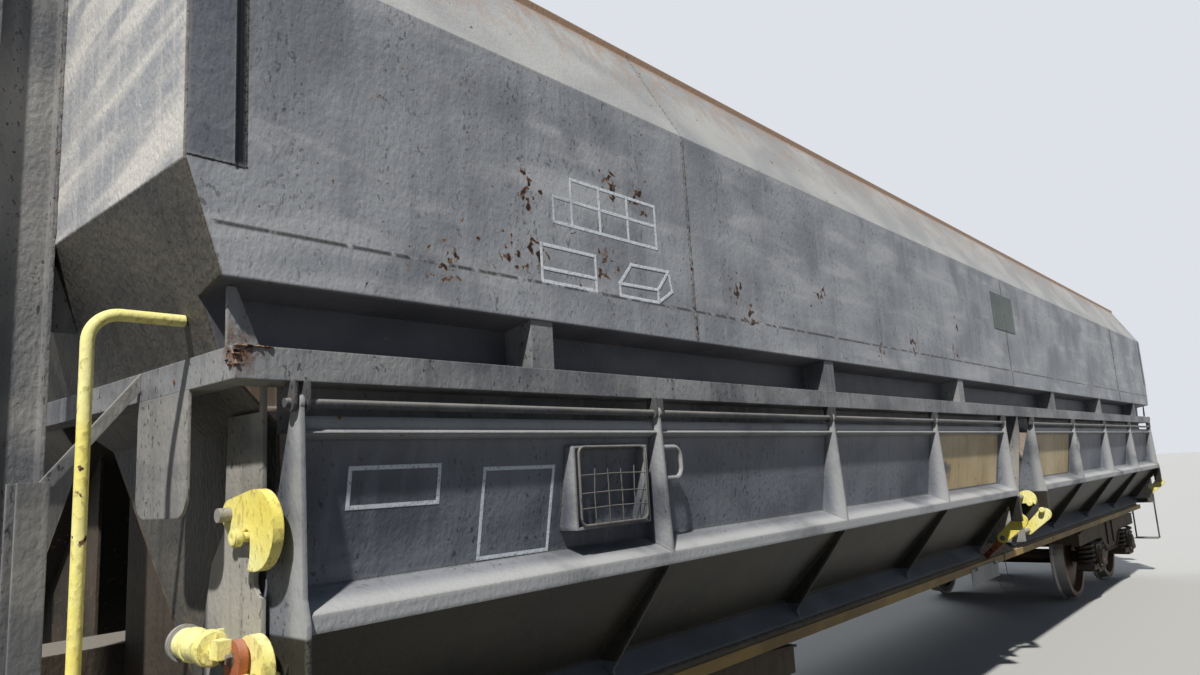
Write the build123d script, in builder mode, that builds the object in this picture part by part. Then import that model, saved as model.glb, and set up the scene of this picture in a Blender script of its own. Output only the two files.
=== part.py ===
"""Open hopper wagon with a saddle floor and four side doors, on two bogies.

Millimetres. X runs along the wagon, Y across it, Z up. The origin lies under the middle of the
wagon at the level of the flange tips. Section and side sketches measure heights from the rail head.
"""
import os
from math import radians, sin

from build123d import *

os.makedirs("parts", exist_ok=True)

# Running gear
FLANGE_DEPTH = 28
WHEEL_DIAMETER = 920
WHEEL_INNER_FACE = 680
WHEEL_OUTER_FACE = 815
FLANGE_THICKNESS = 32
RIM_THICKNESS = 62
DISC_THICKNESS = 26
AXLE_DIAMETER = 160
HUB_DIAMETER = 250
JOURNAL_DIAMETER = 130
JOURNAL_CENTRE = 1000
AXLE_END = 1075
PIVOT_CENTRE = 4750
WHEELBASE = 1800

# Body lengths, measured from the middle of the wagon
HEADSTOCK_FACE = 6650
BUFFER_FACE = 7270
END_WALL_FACE = 6470
END_SLOPE_FOOT = 6325
BULKHEAD_FACE = 6166
RAIL_END = 6340

# Body section: half widths and heights
SHEET = 8
SIDE_FACE = 1430
RECESS_FACE = 1300
TOP_HALF_WIDTH = 1150
TOP_HEIGHT = 3600
CREASE_HEIGHT = TOP_HEIGHT - 490
LIP_HEIGHT = 2220
RECESS_HEIGHT = 2195
END_BEND_HEIGHT = 2490
END_SLOPE_FOOT_HEIGHT = 2045
BULKHEAD_TOP = 1880
RAIL_TOP = 2060
RAIL_BOTTOM = 1980
SKIRT_BOTTOM = 1860
SADDLE_RIDGE = 2052
CHUTE_EDGE = 1180
MIDDLE_RIDGE = 2560

# Doors: two on each side, hinged along their top edge
DOOR_START = 400
DOOR_PITCH = 1445
DOOR_PANELS = 4
GUSSET = 12
HINGE_Y = 1425
HINGE_Z = 1925
HINGE_BAR = 24
HINGE_EAR = 48
PIN_FIT = 0.4
RUNNING_GAP = 8

# Underframe
SILL_HALF_WIDTH = 150
SILL_TOP = 1240
SILL_BOTTOM = 1000
HEADSTOCK_TOP = 1260
HEADSTOCK_BOTTOM = 900
HEADSTOCK_HALF_WIDTH = 1290
HEADSTOCK_DEPTH = 100
BUFFER_CENTRE = 875
BUFFER_HEIGHT = 1060

WHEEL_RADIUS = WHEEL_DIAMETER / 2
DOOR_END = DOOR_START + DOOR_PANELS * DOOR_PITCH
SIDES = {"left": 1, "right": -1}
ENDS = {"front": 1, "rear": -1}


def across(x, side=1):
    """Plane across the wagon at x: sketch x runs outward to that side, sketch y up from the rail."""
    return Plane(origin=(x, 0, FLANGE_DEPTH), x_dir=(0, side, 0), z_dir=(side, 0, 0))


def along(y):
    """Plane along the wagon at y: sketch x runs along the wagon, sketch y up from the rail."""
    return Plane(origin=(0, y, FLANGE_DEPTH), x_dir=(1, 0, 0), z_dir=(0, -1, 0))


def level(z):
    """Horizontal plane at height z above the rail."""
    return Plane.XY.offset(FLANGE_DEPTH + z)


def bent_sheet(points, thickness):
    """Closed outline of a sheet folded along points, with its thickness to the left of travel."""
    path = [Vector(*point) for point in points]
    normals = []
    for start, end in zip(path, path[1:]):
        run = (end - start).normalized()
        normals.append(Vector(-run.Y, run.X))
    inner = [path[0] + normals[0] * thickness]
    for point, before, after in zip(path[1:-1], normals, normals[1:]):
        inner.append(point + (before + after) * (thickness / (1 + before.dot(after))))
    inner.append(path[-1] + normals[-1] * thickness)
    return [(point.X, point.Y) for point in path + inner[::-1]]


# Locks, in section: the door's pin, the claw's pivot, turns of the claw for one of the door, the middle of the
# claw's round head and its radius, and whether the middle end of a door has this lock too
DOOR_TRAVEL = 40
PIN_DIAMETER = 24
PIN_HEAD = 44
PIN_LENGTH = 94
PIN_HEAD_LENGTH = 16
CLAW_GAP = 6
CLAW_THICKNESS = 28
CLAW_OFFSET = 48
CLAW_HUB = 76
LOCK_SHAFT = 36
SHAFT_OVERHANG = 30
CORNER_PLATE = 12
CORNER_PLATE_FACE = 6212
LOCKS = {
    "upper": dict(pin=(1302, 1608), pivot=(1210, 1662), ratio=4, head=(1338, 1624), radius=98, middle=False),
    "main": dict(pin=(1352, 1276), pivot=(1290, 1330), ratio=4, head=(1325, 1305), radius=75, middle=True),
    "lower": dict(pin=(1437, 1222), pivot=(1305, 1060), ratio=-3, head=(1445, 1185), radius=50, middle=True),
}


def lock_ends(lock):
    """Door ends that carry a lock: the plane of the door's end plate and the way out of it."""
    ends = [(DOOR_END, 1)]
    if lock["middle"]:
        ends.append((DOOR_START, -1))
    return ends


def turn_about(point, centre, angle):
    """Point turned about a centre by an angle in degrees."""
    return centre + (point - centre).rotate(Axis.Z, angle)


def pin_way(lock, in_claw=False):
    """Places of the pin while the door opens, in section or as the turning claw sees them"""
    pin, pivot, hinge = Vector(*lock["pin"]), Vector(*lock["pivot"]), Vector(HINGE_Y, HINGE_Z)
    reach = (Vector(*lock["head"]) - pivot).length + lock["radius"] + 2 * PIN_DIAMETER
    places = []
    for angle in range(0, DOOR_TRAVEL + 1, 2):
        place = turn_about(pin, hinge, angle)
        if (place - pivot).length > reach:
            break
        places.append(turn_about(place, pivot, -lock["ratio"] * angle) if in_claw else place)
    return [(place.X, place.Y) for place in places]


def claw_face(lock):
    """Claw outline: hub and round head in one hull, cleared along the pin's way out and inboard of it."""
    way = pin_way(lock, in_claw=True)
    with BuildSketch() as face:
        with Locations(lock["pivot"]):
            Circle(CLAW_HUB / 2)
        with Locations(lock["head"]):
            Circle(lock["radius"])
        make_hull()
        for start, stop in zip(way, way[1:]):
            with BuildSketch(mode=Mode.SUBTRACT):
                with Locations(start, stop):
                    Circle(PIN_DIAMETER / 2 + CLAW_GAP)
                make_hull()
        Polygon(*way, (0, way[-1][1]), (0, way[0][1]), align=None, mode=Mode.SUBTRACT)
        with Locations(lock["pivot"]):
            Circle(CLAW_HUB / 2)
            Circle(LOCK_SHAFT / 2 + PIN_FIT, mode=Mode.SUBTRACT)
    return face.sketch


# Body outline in section, from the rail up, and the end sheet in side view, from the bulkhead up
side_path = [
    (RECESS_FACE, RAIL_TOP),
    (RECESS_FACE, RECESS_HEIGHT),
    (SIDE_FACE, LIP_HEIGHT),
    (SIDE_FACE, CREASE_HEIGHT),
    (TOP_HALF_WIDTH, TOP_HEIGHT),
]
end_path = [
    (BULKHEAD_FACE, SILL_BOTTOM),
    (BULKHEAD_FACE, BULKHEAD_TOP),
    (END_SLOPE_FOOT, END_SLOPE_FOOT_HEIGHT),
    (END_WALL_FACE, END_BEND_HEIGHT),
    (END_WALL_FACE, TOP_HEIGHT),
]


# The same two outlines on their inner faces
side_inside = bent_sheet(side_path, SHEET)[len(side_path):][::-1]
end_inside = bent_sheet(end_path, SHEET)[len(end_path):][::-1]


def end_face_at(height):
    """Distance of the end sheet's outer face from the middle at a height."""
    for (x0, z0), (x1, z1) in zip(end_path, end_path[1:]):
        if z0 <= height <= z1:
            return x0 + (x1 - x0) * (height - z0) / (z1 - z0)
    return END_WALL_FACE


# Door outline in section, from the sealing corner at its foot up to the hinge
DOOR_FOOT = (1054, 1010)
DOOR_FLANGE_TIP = (1154, 922)
BELLY_UNDER = (1410, 1366)
BELLY_EDGE_LOW = (1465, 1376)
BELLY_EDGE = (1465, 1418)
PANEL_FOOT = (1335, 1470)
PANEL_TOP = (1392, 1836)
LEDGE = (1430, 1852)
LEDGE_TOP = (1412, 1862)
DOOR_TOP = (1412, 1895)
door_path = [
    DOOR_FOOT, BELLY_UNDER, BELLY_EDGE_LOW, BELLY_EDGE, PANEL_FOOT, PANEL_TOP, LEDGE, LEDGE_TOP, DOOR_TOP,
]
RIB_FOOT = (1140, 974)
RIB_TOP = (1450, 1376)

# Bulkheads fill the section between the saddle and the doors
seal_gap = RUNNING_GAP + SHEET
panel_line = BELLY_UNDER[1] - BELLY_UNDER[0] + seal_gap * 2 ** 0.5
bulkhead_edge = PANEL_FOOT[0] - seal_gap - SHEET
bulkhead_foot_y = (SADDLE_RIDGE - panel_line) / 2
bulkhead_outline = [
    (0, SADDLE_RIDGE),
    (bulkhead_foot_y, SADDLE_RIDGE - bulkhead_foot_y),
    (bulkhead_edge, bulkhead_edge + panel_line),
    (bulkhead_edge, PANEL_FOOT[1]),
    (RECESS_FACE - SHEET, SKIRT_BOTTOM),
    (RECESS_FACE - SHEET, RAIL_TOP),
    (0, RAIL_TOP),
]

# Hopper sides: one sheet each, folded at the lip and the crease, with a lapped seam, rim bar and corner groove
SEAM_HEIGHT = 2350
SEAM_LAP = 4
RIM_WIDTH = 40
RIM_HEIGHT = 60
GROOVE_OFFSET = 125
GROOVE_WIDTH = 25
GROOVE_DEPTH = 5

for side_name, side in SIDES.items():
    with BuildPart() as hopper_side:
        with BuildSketch(across(0, side)):
            Polygon(*bent_sheet(side_path, SHEET), align=None)
        extrude(amount=END_WALL_FACE - SHEET, both=True)
        with BuildSketch(across(0, side)):
            lap = [(SIDE_FACE, LIP_HEIGHT), (SIDE_FACE, SEAM_HEIGHT), (SIDE_FACE + SEAM_LAP, SEAM_HEIGHT),
                   (SIDE_FACE + SEAM_LAP, LIP_HEIGHT)]
            Polygon(*lap, align=None)
            with Locations((TOP_HALF_WIDTH, TOP_HEIGHT - RIM_HEIGHT / 2)):
                Rectangle(RIM_WIDTH, RIM_HEIGHT)
        extrude(amount=END_WALL_FACE - SHEET, both=True)
        with BuildSketch(along(0)):
            Polygon(*end_inside, *[(-x, z) for x, z in reversed(end_inside)], align=None)
        extrude(amount=SIDE_FACE + SHEET, both=True, mode=Mode.INTERSECT)
        groove_x = END_WALL_FACE - GROOVE_OFFSET - GROOVE_WIDTH / 2
        groove_height = CREASE_HEIGHT - END_BEND_HEIGHT
        for end in ENDS.values():
            with Locations((end * groove_x, side * SIDE_FACE, FLANGE_DEPTH + END_BEND_HEIGHT)):
                Box(GROOVE_WIDTH, 2 * GROOVE_DEPTH, groove_height,
                    align=(Align.CENTER, Align.CENTER, Align.MIN), mode=Mode.SUBTRACT)
    hopper_side.part.label = f"hopper_side_{side_name}"
    export_step(hopper_side.part, f"parts/hopper_side_{side_name}.step")

# Hopper ends: wall, slope and bulkhead in one folded sheet, with a box stiffener along the top
TOP_BOX_DEPTH = 90
TOP_BOX_HEIGHT = 110

for end_name, end in ENDS.items():
    with BuildPart() as hopper_end:
        with BuildSketch(along(0)):
            Polygon(*[(end * x, z) for x, z in bent_sheet(end_path, SHEET)], align=None)
        extrude(amount=SIDE_FACE, both=True)
        with BuildSketch(across(0)):
            half = [*bulkhead_outline[:-1], *side_path]
            Polygon(*half, *[(-y, z) for y, z in reversed(half[1:])], align=None)
        extrude(amount=HEADSTOCK_FACE, both=True, mode=Mode.INTERSECT)
        with BuildSketch(along(0)):
            with Locations((end * (END_WALL_FACE + TOP_BOX_DEPTH / 2), TOP_HEIGHT - TOP_BOX_HEIGHT / 2)):
                Rectangle(TOP_BOX_DEPTH, TOP_BOX_HEIGHT)
        extrude(amount=TOP_HALF_WIDTH, both=True)
    hopper_end.part.label = f"hopper_end_{end_name}"
    export_step(hopper_end.part, f"parts/hopper_end_{end_name}.step")

# Saddle floor: the inverted V that sheds the load to both sides, down to the strips along its chute edges
CHUTE_STRIP = 12
CHUTE_STRIP_TOP = 900
CHUTE_STRIP_FOOT = 850
with BuildPart() as saddle_floor:
    with BuildSketch(across(0)):
        slope = bent_sheet(
            [(-CHUTE_EDGE, SADDLE_RIDGE - CHUTE_EDGE), (0, SADDLE_RIDGE),
             (CHUTE_EDGE, SADDLE_RIDGE - CHUTE_EDGE)], -SHEET)
        Polygon(*slope, align=None)
        for side in SIDES.values():
            with Locations((side * CHUTE_EDGE, (CHUTE_STRIP_TOP + CHUTE_STRIP_FOOT) / 2)):
                Rectangle(CHUTE_STRIP, CHUTE_STRIP_TOP - CHUTE_STRIP_FOOT)
    extrude(amount=RAIL_END, both=True)
    with BuildSketch(along(0)):
        reach = [(BULKHEAD_FACE, 0), *end_path[1:]]
        Polygon(*reach, *[(-x, z) for x, z in reversed(reach)], align=None)
    extrude(amount=SIDE_FACE, both=True, mode=Mode.INTERSECT)
saddle_floor.part.label = "saddle_floor"
export_step(saddle_floor.part, "parts/saddle_floor.step")

# Middle saddle: a cross roof over the gap between the doors, on two bulkheads
middle_face = DOOR_START + GUSSET / 2 + RUNNING_GAP
with BuildPart() as middle_saddle:
    with BuildSketch(along(0)):
        roof_line = [(-middle_face - SHEET, RAIL_TOP), (0, MIDDLE_RIDGE), (middle_face + SHEET, RAIL_TOP)]
        roof = bent_sheet(roof_line, -SHEET)
        Polygon(*roof, align=None)
    extrude(amount=SIDE_FACE, both=True)
    with BuildSketch(across(0)):
        Polygon(*side_inside, *[(-y, z) for y, z in reversed(side_inside)], align=None)
    extrude(amount=DOOR_PITCH, both=True, mode=Mode.INTERSECT)
    for end in ENDS.values():
        with BuildSketch(across(end * (middle_face + SHEET / 2))):
            for side in SIDES.values():
                Polygon(*[(side * y, z) for y, z in bulkhead_outline], align=None)
        extrude(amount=SHEET / 2, both=True)
middle_saddle.part.label = "middle_saddle"
export_step(middle_saddle.part, "parts/middle_saddle.step")

# Sill rails: box rails under the recess, with a skirt that hangs inside the doors and a gusset at each end
GUSSET_PLACE = 1380
GUSSET_FOOT = 83
GUSSET_HEAD = 20
for side_name, side in SIDES.items():
    with BuildPart() as sill_rail:
        with BuildSketch(across(0, side)):
            rail = [(RECESS_FACE - SHEET, RAIL_TOP), (SIDE_FACE, RAIL_TOP), (SIDE_FACE, RAIL_BOTTOM),
                    (RECESS_FACE - SHEET, RAIL_BOTTOM)]
            Polygon(*rail, align=None)
        extrude(amount=RAIL_END, both=True)
        with BuildSketch(across(0, side)):
            skirt = [(RECESS_FACE - SHEET, RAIL_BOTTOM), (RECESS_FACE, RAIL_BOTTOM),
                     (RECESS_FACE, SKIRT_BOTTOM), (RECESS_FACE - SHEET, SKIRT_BOTTOM)]
            Polygon(*skirt, align=None)
        extrude(amount=end_face_at(SKIRT_BOTTOM), both=True)
        lip_rise = (LIP_HEIGHT - RECESS_HEIGHT) / (SIDE_FACE - RECESS_FACE)
        lip_height = RECESS_HEIGHT + (GUSSET_PLACE - GUSSET / 2 - RECESS_FACE) * lip_rise
        with BuildSketch(along(side * GUSSET_PLACE)):
            for end in ENDS.values():
                corner = [(RAIL_END, RAIL_TOP), (RAIL_END, lip_height), (RAIL_END - GUSSET_HEAD, lip_height),
                          (RAIL_END - GUSSET_FOOT, RAIL_TOP)]
                Polygon(*[(end * x, z) for x, z in corner], align=None)
        extrude(amount=GUSSET / 2, both=True)
    sill_rail.part.label = f"sill_rail_{side_name}"
    export_step(sill_rail.part, f"parts/sill_rail_{side_name}.step")

# End beams: across both ends at rail height, against the sloping end sheets
with BuildPart() as end_beams:
    for end in ENDS.values():
        with BuildSketch(along(0)):
            beam = [(end_face_at(RAIL_BOTTOM), RAIL_BOTTOM), (RAIL_END, RAIL_BOTTOM), (RAIL_END, RAIL_TOP),
                    (end_face_at(RAIL_TOP), RAIL_TOP), (END_SLOPE_FOOT, END_SLOPE_FOOT_HEIGHT)]
            Polygon(*[(end * x, z) for x, z in beam], align=None)
        extrude(amount=RECESS_FACE - SHEET, both=True)
end_beams.part.label = "end_beams"
export_step(end_beams.part, "parts/end_beams.step")

# Stub posts: short flat posts that tie the lip to the sill rail
STUB_POSITIONS = [1250, 3250, 5320]
STUB_WIDTH = 100
STUB_SETBACK = 3
with BuildPart() as stub_posts:
    stub_face = SIDE_FACE - STUB_SETBACK
    lip_slope = (LIP_HEIGHT - RECESS_HEIGHT) / (SIDE_FACE - RECESS_FACE)
    stub = [(RECESS_FACE, RAIL_TOP), (stub_face, RAIL_TOP),
            (stub_face, LIP_HEIGHT - STUB_SETBACK * lip_slope), (RECESS_FACE, RECESS_HEIGHT)]
    for position in STUB_POSITIONS:
        for end in ENDS.values():
            with BuildSketch(across(end * position)):
                for side in SIDES.values():
                    Polygon(*[(side * y, z) for y, z in stub], align=None)
            extrude(amount=STUB_WIDTH / 2, both=True)
stub_posts.part.label = "stub_posts"
export_step(stub_posts.part, "parts/stub_posts.step")

# Cross ties: tubes across the hopper under its top edge
TIE_DIAMETER = 60
TIE_HEIGHT = TOP_HEIGHT - 100
TIE_POSITIONS = [-2150, 2150]
with BuildPart() as cross_ties:
    for position in TIE_POSITIONS:
        with BuildSketch(along(0)):
            with Locations((position, TIE_HEIGHT)):
                Circle(TIE_DIAMETER / 2)
        extrude(amount=SIDE_FACE, both=True)
    with BuildSketch(across(0)):
        Polygon(*side_inside, *[(-y, z) for y, z in reversed(side_inside)], align=None)
    extrude(amount=END_WALL_FACE, both=True, mode=Mode.INTERSECT)
cross_ties.part.label = "cross_ties"
export_step(cross_ties.part, "parts/cross_ties.step")

# End posts: two rolled posts at each end, from the headstock to the top box, webbed to the slope
POST_OFFSET = 467
POST_FLANGE_WIDTH = 110
POST_FLANGE = 12
WEB_FOOT_HEIGHT = 2230
with BuildPart() as end_posts:
    for end in ENDS.values():
        for side in SIDES.values():
            with BuildSketch(level(HEADSTOCK_TOP)):
                for face in (END_WALL_FACE + POST_FLANGE / 2, HEADSTOCK_FACE - POST_FLANGE / 2):
                    with Locations((end * face, side * POST_OFFSET)):
                        Rectangle(POST_FLANGE, POST_FLANGE_WIDTH)
                with Locations((end * (END_WALL_FACE + HEADSTOCK_FACE) / 2, side * POST_OFFSET)):
                    Rectangle(HEADSTOCK_FACE - END_WALL_FACE, POST_FLANGE)
            extrude(amount=TOP_HEIGHT - TOP_BOX_HEIGHT - HEADSTOCK_TOP)
            with BuildSketch(along(side * POST_OFFSET)):
                web = [(END_WALL_FACE, END_BEND_HEIGHT), (end_face_at(WEB_FOOT_HEIGHT), WEB_FOOT_HEIGHT),
                       (END_WALL_FACE, WEB_FOOT_HEIGHT)]
                Polygon(*[(end * x, z) for x, z in web], align=None)
            extrude(amount=POST_FLANGE / 2, both=True)
end_posts.part.label = "end_posts"
export_step(end_posts.part, "parts/end_posts.step")

# Corner plates: hang from the rail ends between doors and claws, with bosses for the lock shafts
SOLE_INNER = 1180
SOLE_TOP = 1240
SOLE_BOTTOM = 980
SOLE_WIDTH = 80
PLATE_NOTCH = (1312, 1500)
PLATE_NOTCH_RADIUS = 42
slope_rise = (END_SLOPE_FOOT_HEIGHT - BULKHEAD_TOP) / (END_SLOPE_FOOT - BULKHEAD_FACE)
slope_seat = BULKHEAD_TOP + (CORNER_PLATE_FACE - CORNER_PLATE - BULKHEAD_FACE) * slope_rise
corner_outline = [
    (1120, slope_seat), (RECESS_FACE - SHEET, slope_seat), (RECESS_FACE - SHEET, RAIL_BOTTOM),
    (1310, RAIL_BOTTOM), (1310, SOLE_BOTTOM), (990, SOLE_BOTTOM), (990, 1365), (1035, 1533), (1104, 1615),
]
with BuildPart() as corner_plates:
    for end in ENDS.values():
        for side in SIDES.values():
            with BuildSketch(across(end * (CORNER_PLATE_FACE - CORNER_PLATE / 2), side)):
                Polygon(*corner_outline, align=None)
                with Locations(PLATE_NOTCH):
                    Circle(PLATE_NOTCH_RADIUS, mode=Mode.SUBTRACT)
                for lock in LOCKS.values():
                    with Locations(lock["pivot"]):
                        Circle(CLAW_HUB / 2)
                for lock in LOCKS.values():
                    with Locations(*pin_way(lock)[:3]):
                        Circle(PIN_DIAMETER / 2 + RUNNING_GAP, mode=Mode.SUBTRACT)
            extrude(amount=CORNER_PLATE / 2, both=True)
            sole_length = HEADSTOCK_FACE - HEADSTOCK_DEPTH - CORNER_PLATE_FACE
            with Locations((end * (CORNER_PLATE_FACE + sole_length / 2), side * (SOLE_INNER + SOLE_WIDTH / 2),
                            FLANGE_DEPTH + SOLE_BOTTOM)):
                Box(sole_length, SOLE_WIDTH, SOLE_TOP - SOLE_BOTTOM,
                    align=(Align.CENTER, Align.CENTER, Align.MIN))
corner_plates.part.label = "corner_plates"
export_step(corner_plates.part, "parts/corner_plates.step")

# End braces: shield plates under the end beams, channel posts and diagonal braces on the headstocks
SHIELD_INNER = 850
SHIELD_OUTER = 1176
SHIELD_FOOT = 1660
SHIELD_CORNER = 60
SHIELD_PLATE = 8
CHANNEL_OFFSET = 860
CHANNEL_DEPTH = 70
CHANNEL_WIDTH = 100
CHANNEL_FACE = 6560
CHANNEL_TOP = 1770
BRACE_WIDTH = 50
with BuildPart() as shield_plates:
    shield_face = RAIL_END - SHIELD_PLATE
    for end in ENDS.values():
        for side in SIDES.values():
            with BuildSketch(across(end * (shield_face + SHIELD_PLATE / 2), side)) as shield:
                with Locations(((SHIELD_INNER + SHIELD_OUTER) / 2, (SHIELD_FOOT + RAIL_BOTTOM) / 2)):
                    Rectangle(SHIELD_OUTER - SHIELD_INNER, RAIL_BOTTOM - SHIELD_FOOT)
                fillet(shield.vertices().group_by(Axis.Y)[0], SHIELD_CORNER)
            extrude(amount=SHIELD_PLATE / 2, both=True)
shield_plates.part.label = "shield_plates"
export_step(shield_plates.part, "parts/shield_plates.step")

with BuildPart() as channel_posts:
    for end in ENDS.values():
        for side in SIDES.values():
            with BuildSketch(level(HEADSTOCK_TOP)):
                with Locations((end * (CHANNEL_FACE + CHANNEL_DEPTH / 2), side * CHANNEL_OFFSET)):
                    Rectangle(CHANNEL_DEPTH, CHANNEL_WIDTH)
                hollow_place = CHANNEL_FACE + CHANNEL_DEPTH / 2 + POST_FLANGE
                with Locations((end * hollow_place, side * CHANNEL_OFFSET)):
                    Rectangle(CHANNEL_DEPTH, CHANNEL_WIDTH - 2 * POST_FLANGE, mode=Mode.SUBTRACT)
            extrude(amount=CHANNEL_TOP - HEADSTOCK_TOP)
            with BuildSketch(along(side * CHANNEL_OFFSET)):
                brace = [(RAIL_END, RAIL_TOP), (RAIL_END, RAIL_TOP - BRACE_WIDTH),
                         (CHANNEL_FACE + POST_FLANGE, CHANNEL_TOP - BRACE_WIDTH),
                         (CHANNEL_FACE + POST_FLANGE, CHANNEL_TOP)]
                Polygon(*[(end * x, z) for x, z in brace], align=None)
            extrude(amount=POST_FLANGE / 2, both=True)
channel_posts.part.label = "channel_posts"
export_step(channel_posts.part, "parts/channel_posts.step")

# Underframe: box centre sill, headstocks and triangular cross bearers under the saddle
PLATE = 12
with BuildPart() as centre_sill:
    with BuildSketch(across(0)):
        with Locations((0, (SILL_TOP + SILL_BOTTOM) / 2)):
            Rectangle(2 * SILL_HALF_WIDTH, SILL_TOP - SILL_BOTTOM)
            Rectangle(2 * (SILL_HALF_WIDTH - PLATE), SILL_TOP - SILL_BOTTOM - 2 * PLATE, mode=Mode.SUBTRACT)
    extrude(amount=HEADSTOCK_FACE - HEADSTOCK_DEPTH, both=True)
centre_sill.part.label = "centre_sill"
export_step(centre_sill.part, "parts/centre_sill.step")

with BuildPart() as headstocks:
    for end in ENDS.values():
        with BuildSketch(along(0)):
            middle_height = (HEADSTOCK_TOP + HEADSTOCK_BOTTOM) / 2
            with Locations((end * (HEADSTOCK_FACE - HEADSTOCK_DEPTH / 2), middle_height)):
                Rectangle(HEADSTOCK_DEPTH, HEADSTOCK_TOP - HEADSTOCK_BOTTOM)
            with Locations((end * (HEADSTOCK_FACE - HEADSTOCK_DEPTH / 2 - PLATE),
                            (HEADSTOCK_TOP + HEADSTOCK_BOTTOM) / 2)):
                Rectangle(HEADSTOCK_DEPTH, HEADSTOCK_TOP - HEADSTOCK_BOTTOM - 2 * PLATE, mode=Mode.SUBTRACT)
        extrude(amount=HEADSTOCK_HALF_WIDTH, both=True)
        for side in SIDES.values():
            with Locations((end * (HEADSTOCK_FACE - HEADSTOCK_DEPTH / 2 - PLATE / 2), side * SILL_HALF_WIDTH,
                            FLANGE_DEPTH + (HEADSTOCK_TOP + HEADSTOCK_BOTTOM) / 2)):
                Box(HEADSTOCK_DEPTH - PLATE, PLATE, HEADSTOCK_TOP - HEADSTOCK_BOTTOM - PLATE)
headstocks.part.label = "headstocks"
export_step(headstocks.part, "parts/headstocks.step")

BEARER_POSITIONS = [1500, 2900, PIVOT_CENTRE, 6100]
BEARER_FOOT = 1010
with BuildPart() as cross_bearers:
    under_saddle = SADDLE_RIDGE - SHEET * 2 ** 0.5
    bearer = [(SILL_HALF_WIDTH, BEARER_FOOT), (under_saddle - BEARER_FOOT, BEARER_FOOT),
              (SILL_HALF_WIDTH, under_saddle - SILL_HALF_WIDTH)]
    for position in BEARER_POSITIONS:
        for end in ENDS.values():
            with BuildSketch(across(end * position)):
                for side in SIDES.values():
                    Polygon(*[(side * y, z) for y, z in bearer], align=None)
            extrude(amount=PLATE / 2, both=True)
cross_bearers.part.label = "cross_bearers"
export_step(cross_bearers.part, "parts/cross_bearers.step")

# Pivot plates: round plates under the sill on which the bogies turn
PIVOT_PLATE_DIAMETER = 420
PIVOT_PLATE_BOTTOM = 930
with BuildPart() as pivot_plates:
    for end in ENDS.values():
        with BuildSketch(level(PIVOT_PLATE_BOTTOM)):
            with Locations((end * PIVOT_CENTRE, 0)):
                Circle(PIVOT_PLATE_DIAMETER / 2)
        extrude(amount=SILL_BOTTOM - PIVOT_PLATE_BOTTOM)
pivot_plates.part.label = "pivot_plates"
export_step(pivot_plates.part, "parts/pivot_plates.step")

# Buffers: flanged housing, plunger and dished head
BUFFER_HOUSING_LENGTH = 340
BUFFER_HOUSING_DIAMETER = 230
BUFFER_FLANGE = 20
BUFFER_FLANGE_SIZE = 300
PLUNGER_DIAMETER = 180
BUFFER_HEAD_WIDTH = 450
BUFFER_HEAD_HEIGHT = 340
BUFFER_HEAD_DEPTH = 40
with BuildPart() as buffer_housings:
    for end in ENDS.values():
        for side in SIDES.values():
            with BuildSketch(across(end * (HEADSTOCK_FACE + BUFFER_FLANGE / 2), 1)):
                with Locations((side * BUFFER_CENTRE, BUFFER_HEIGHT)):
                    RectangleRounded(BUFFER_FLANGE_SIZE, BUFFER_FLANGE_SIZE, BUFFER_FLANGE)
            extrude(amount=BUFFER_FLANGE / 2, both=True)
            with BuildSketch(across(end * (HEADSTOCK_FACE + BUFFER_HOUSING_LENGTH / 2), 1)):
                with Locations((side * BUFFER_CENTRE, BUFFER_HEIGHT)):
                    Circle(BUFFER_HOUSING_DIAMETER / 2)
            extrude(amount=BUFFER_HOUSING_LENGTH / 2, both=True)
buffer_housings.part.label = "buffer_housings"
export_step(buffer_housings.part, "parts/buffer_housings.step")

with BuildPart() as buffer_heads:
    for end in ENDS.values():
        for side in SIDES.values():
            plunger_start = HEADSTOCK_FACE + BUFFER_HOUSING_LENGTH
            plunger_length = BUFFER_FACE - BUFFER_HEAD_DEPTH - plunger_start
            with BuildSketch(across(end * (plunger_start + plunger_length / 2), 1)):
                with Locations((side * BUFFER_CENTRE, BUFFER_HEIGHT)):
                    Circle(PLUNGER_DIAMETER / 2)
            extrude(amount=plunger_length / 2, both=True)
            with BuildSketch(across(end * (BUFFER_FACE - BUFFER_HEAD_DEPTH / 2), 1)):
                with Locations((side * BUFFER_CENTRE, BUFFER_HEIGHT)):
                    RectangleRounded(BUFFER_HEAD_WIDTH, BUFFER_HEAD_HEIGHT, BUFFER_HEAD_HEIGHT / 4)
            extrude(amount=BUFFER_HEAD_DEPTH / 2, both=True)
buffer_heads.part.label = "buffer_heads"
export_step(buffer_heads.part, "parts/buffer_heads.step")

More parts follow.
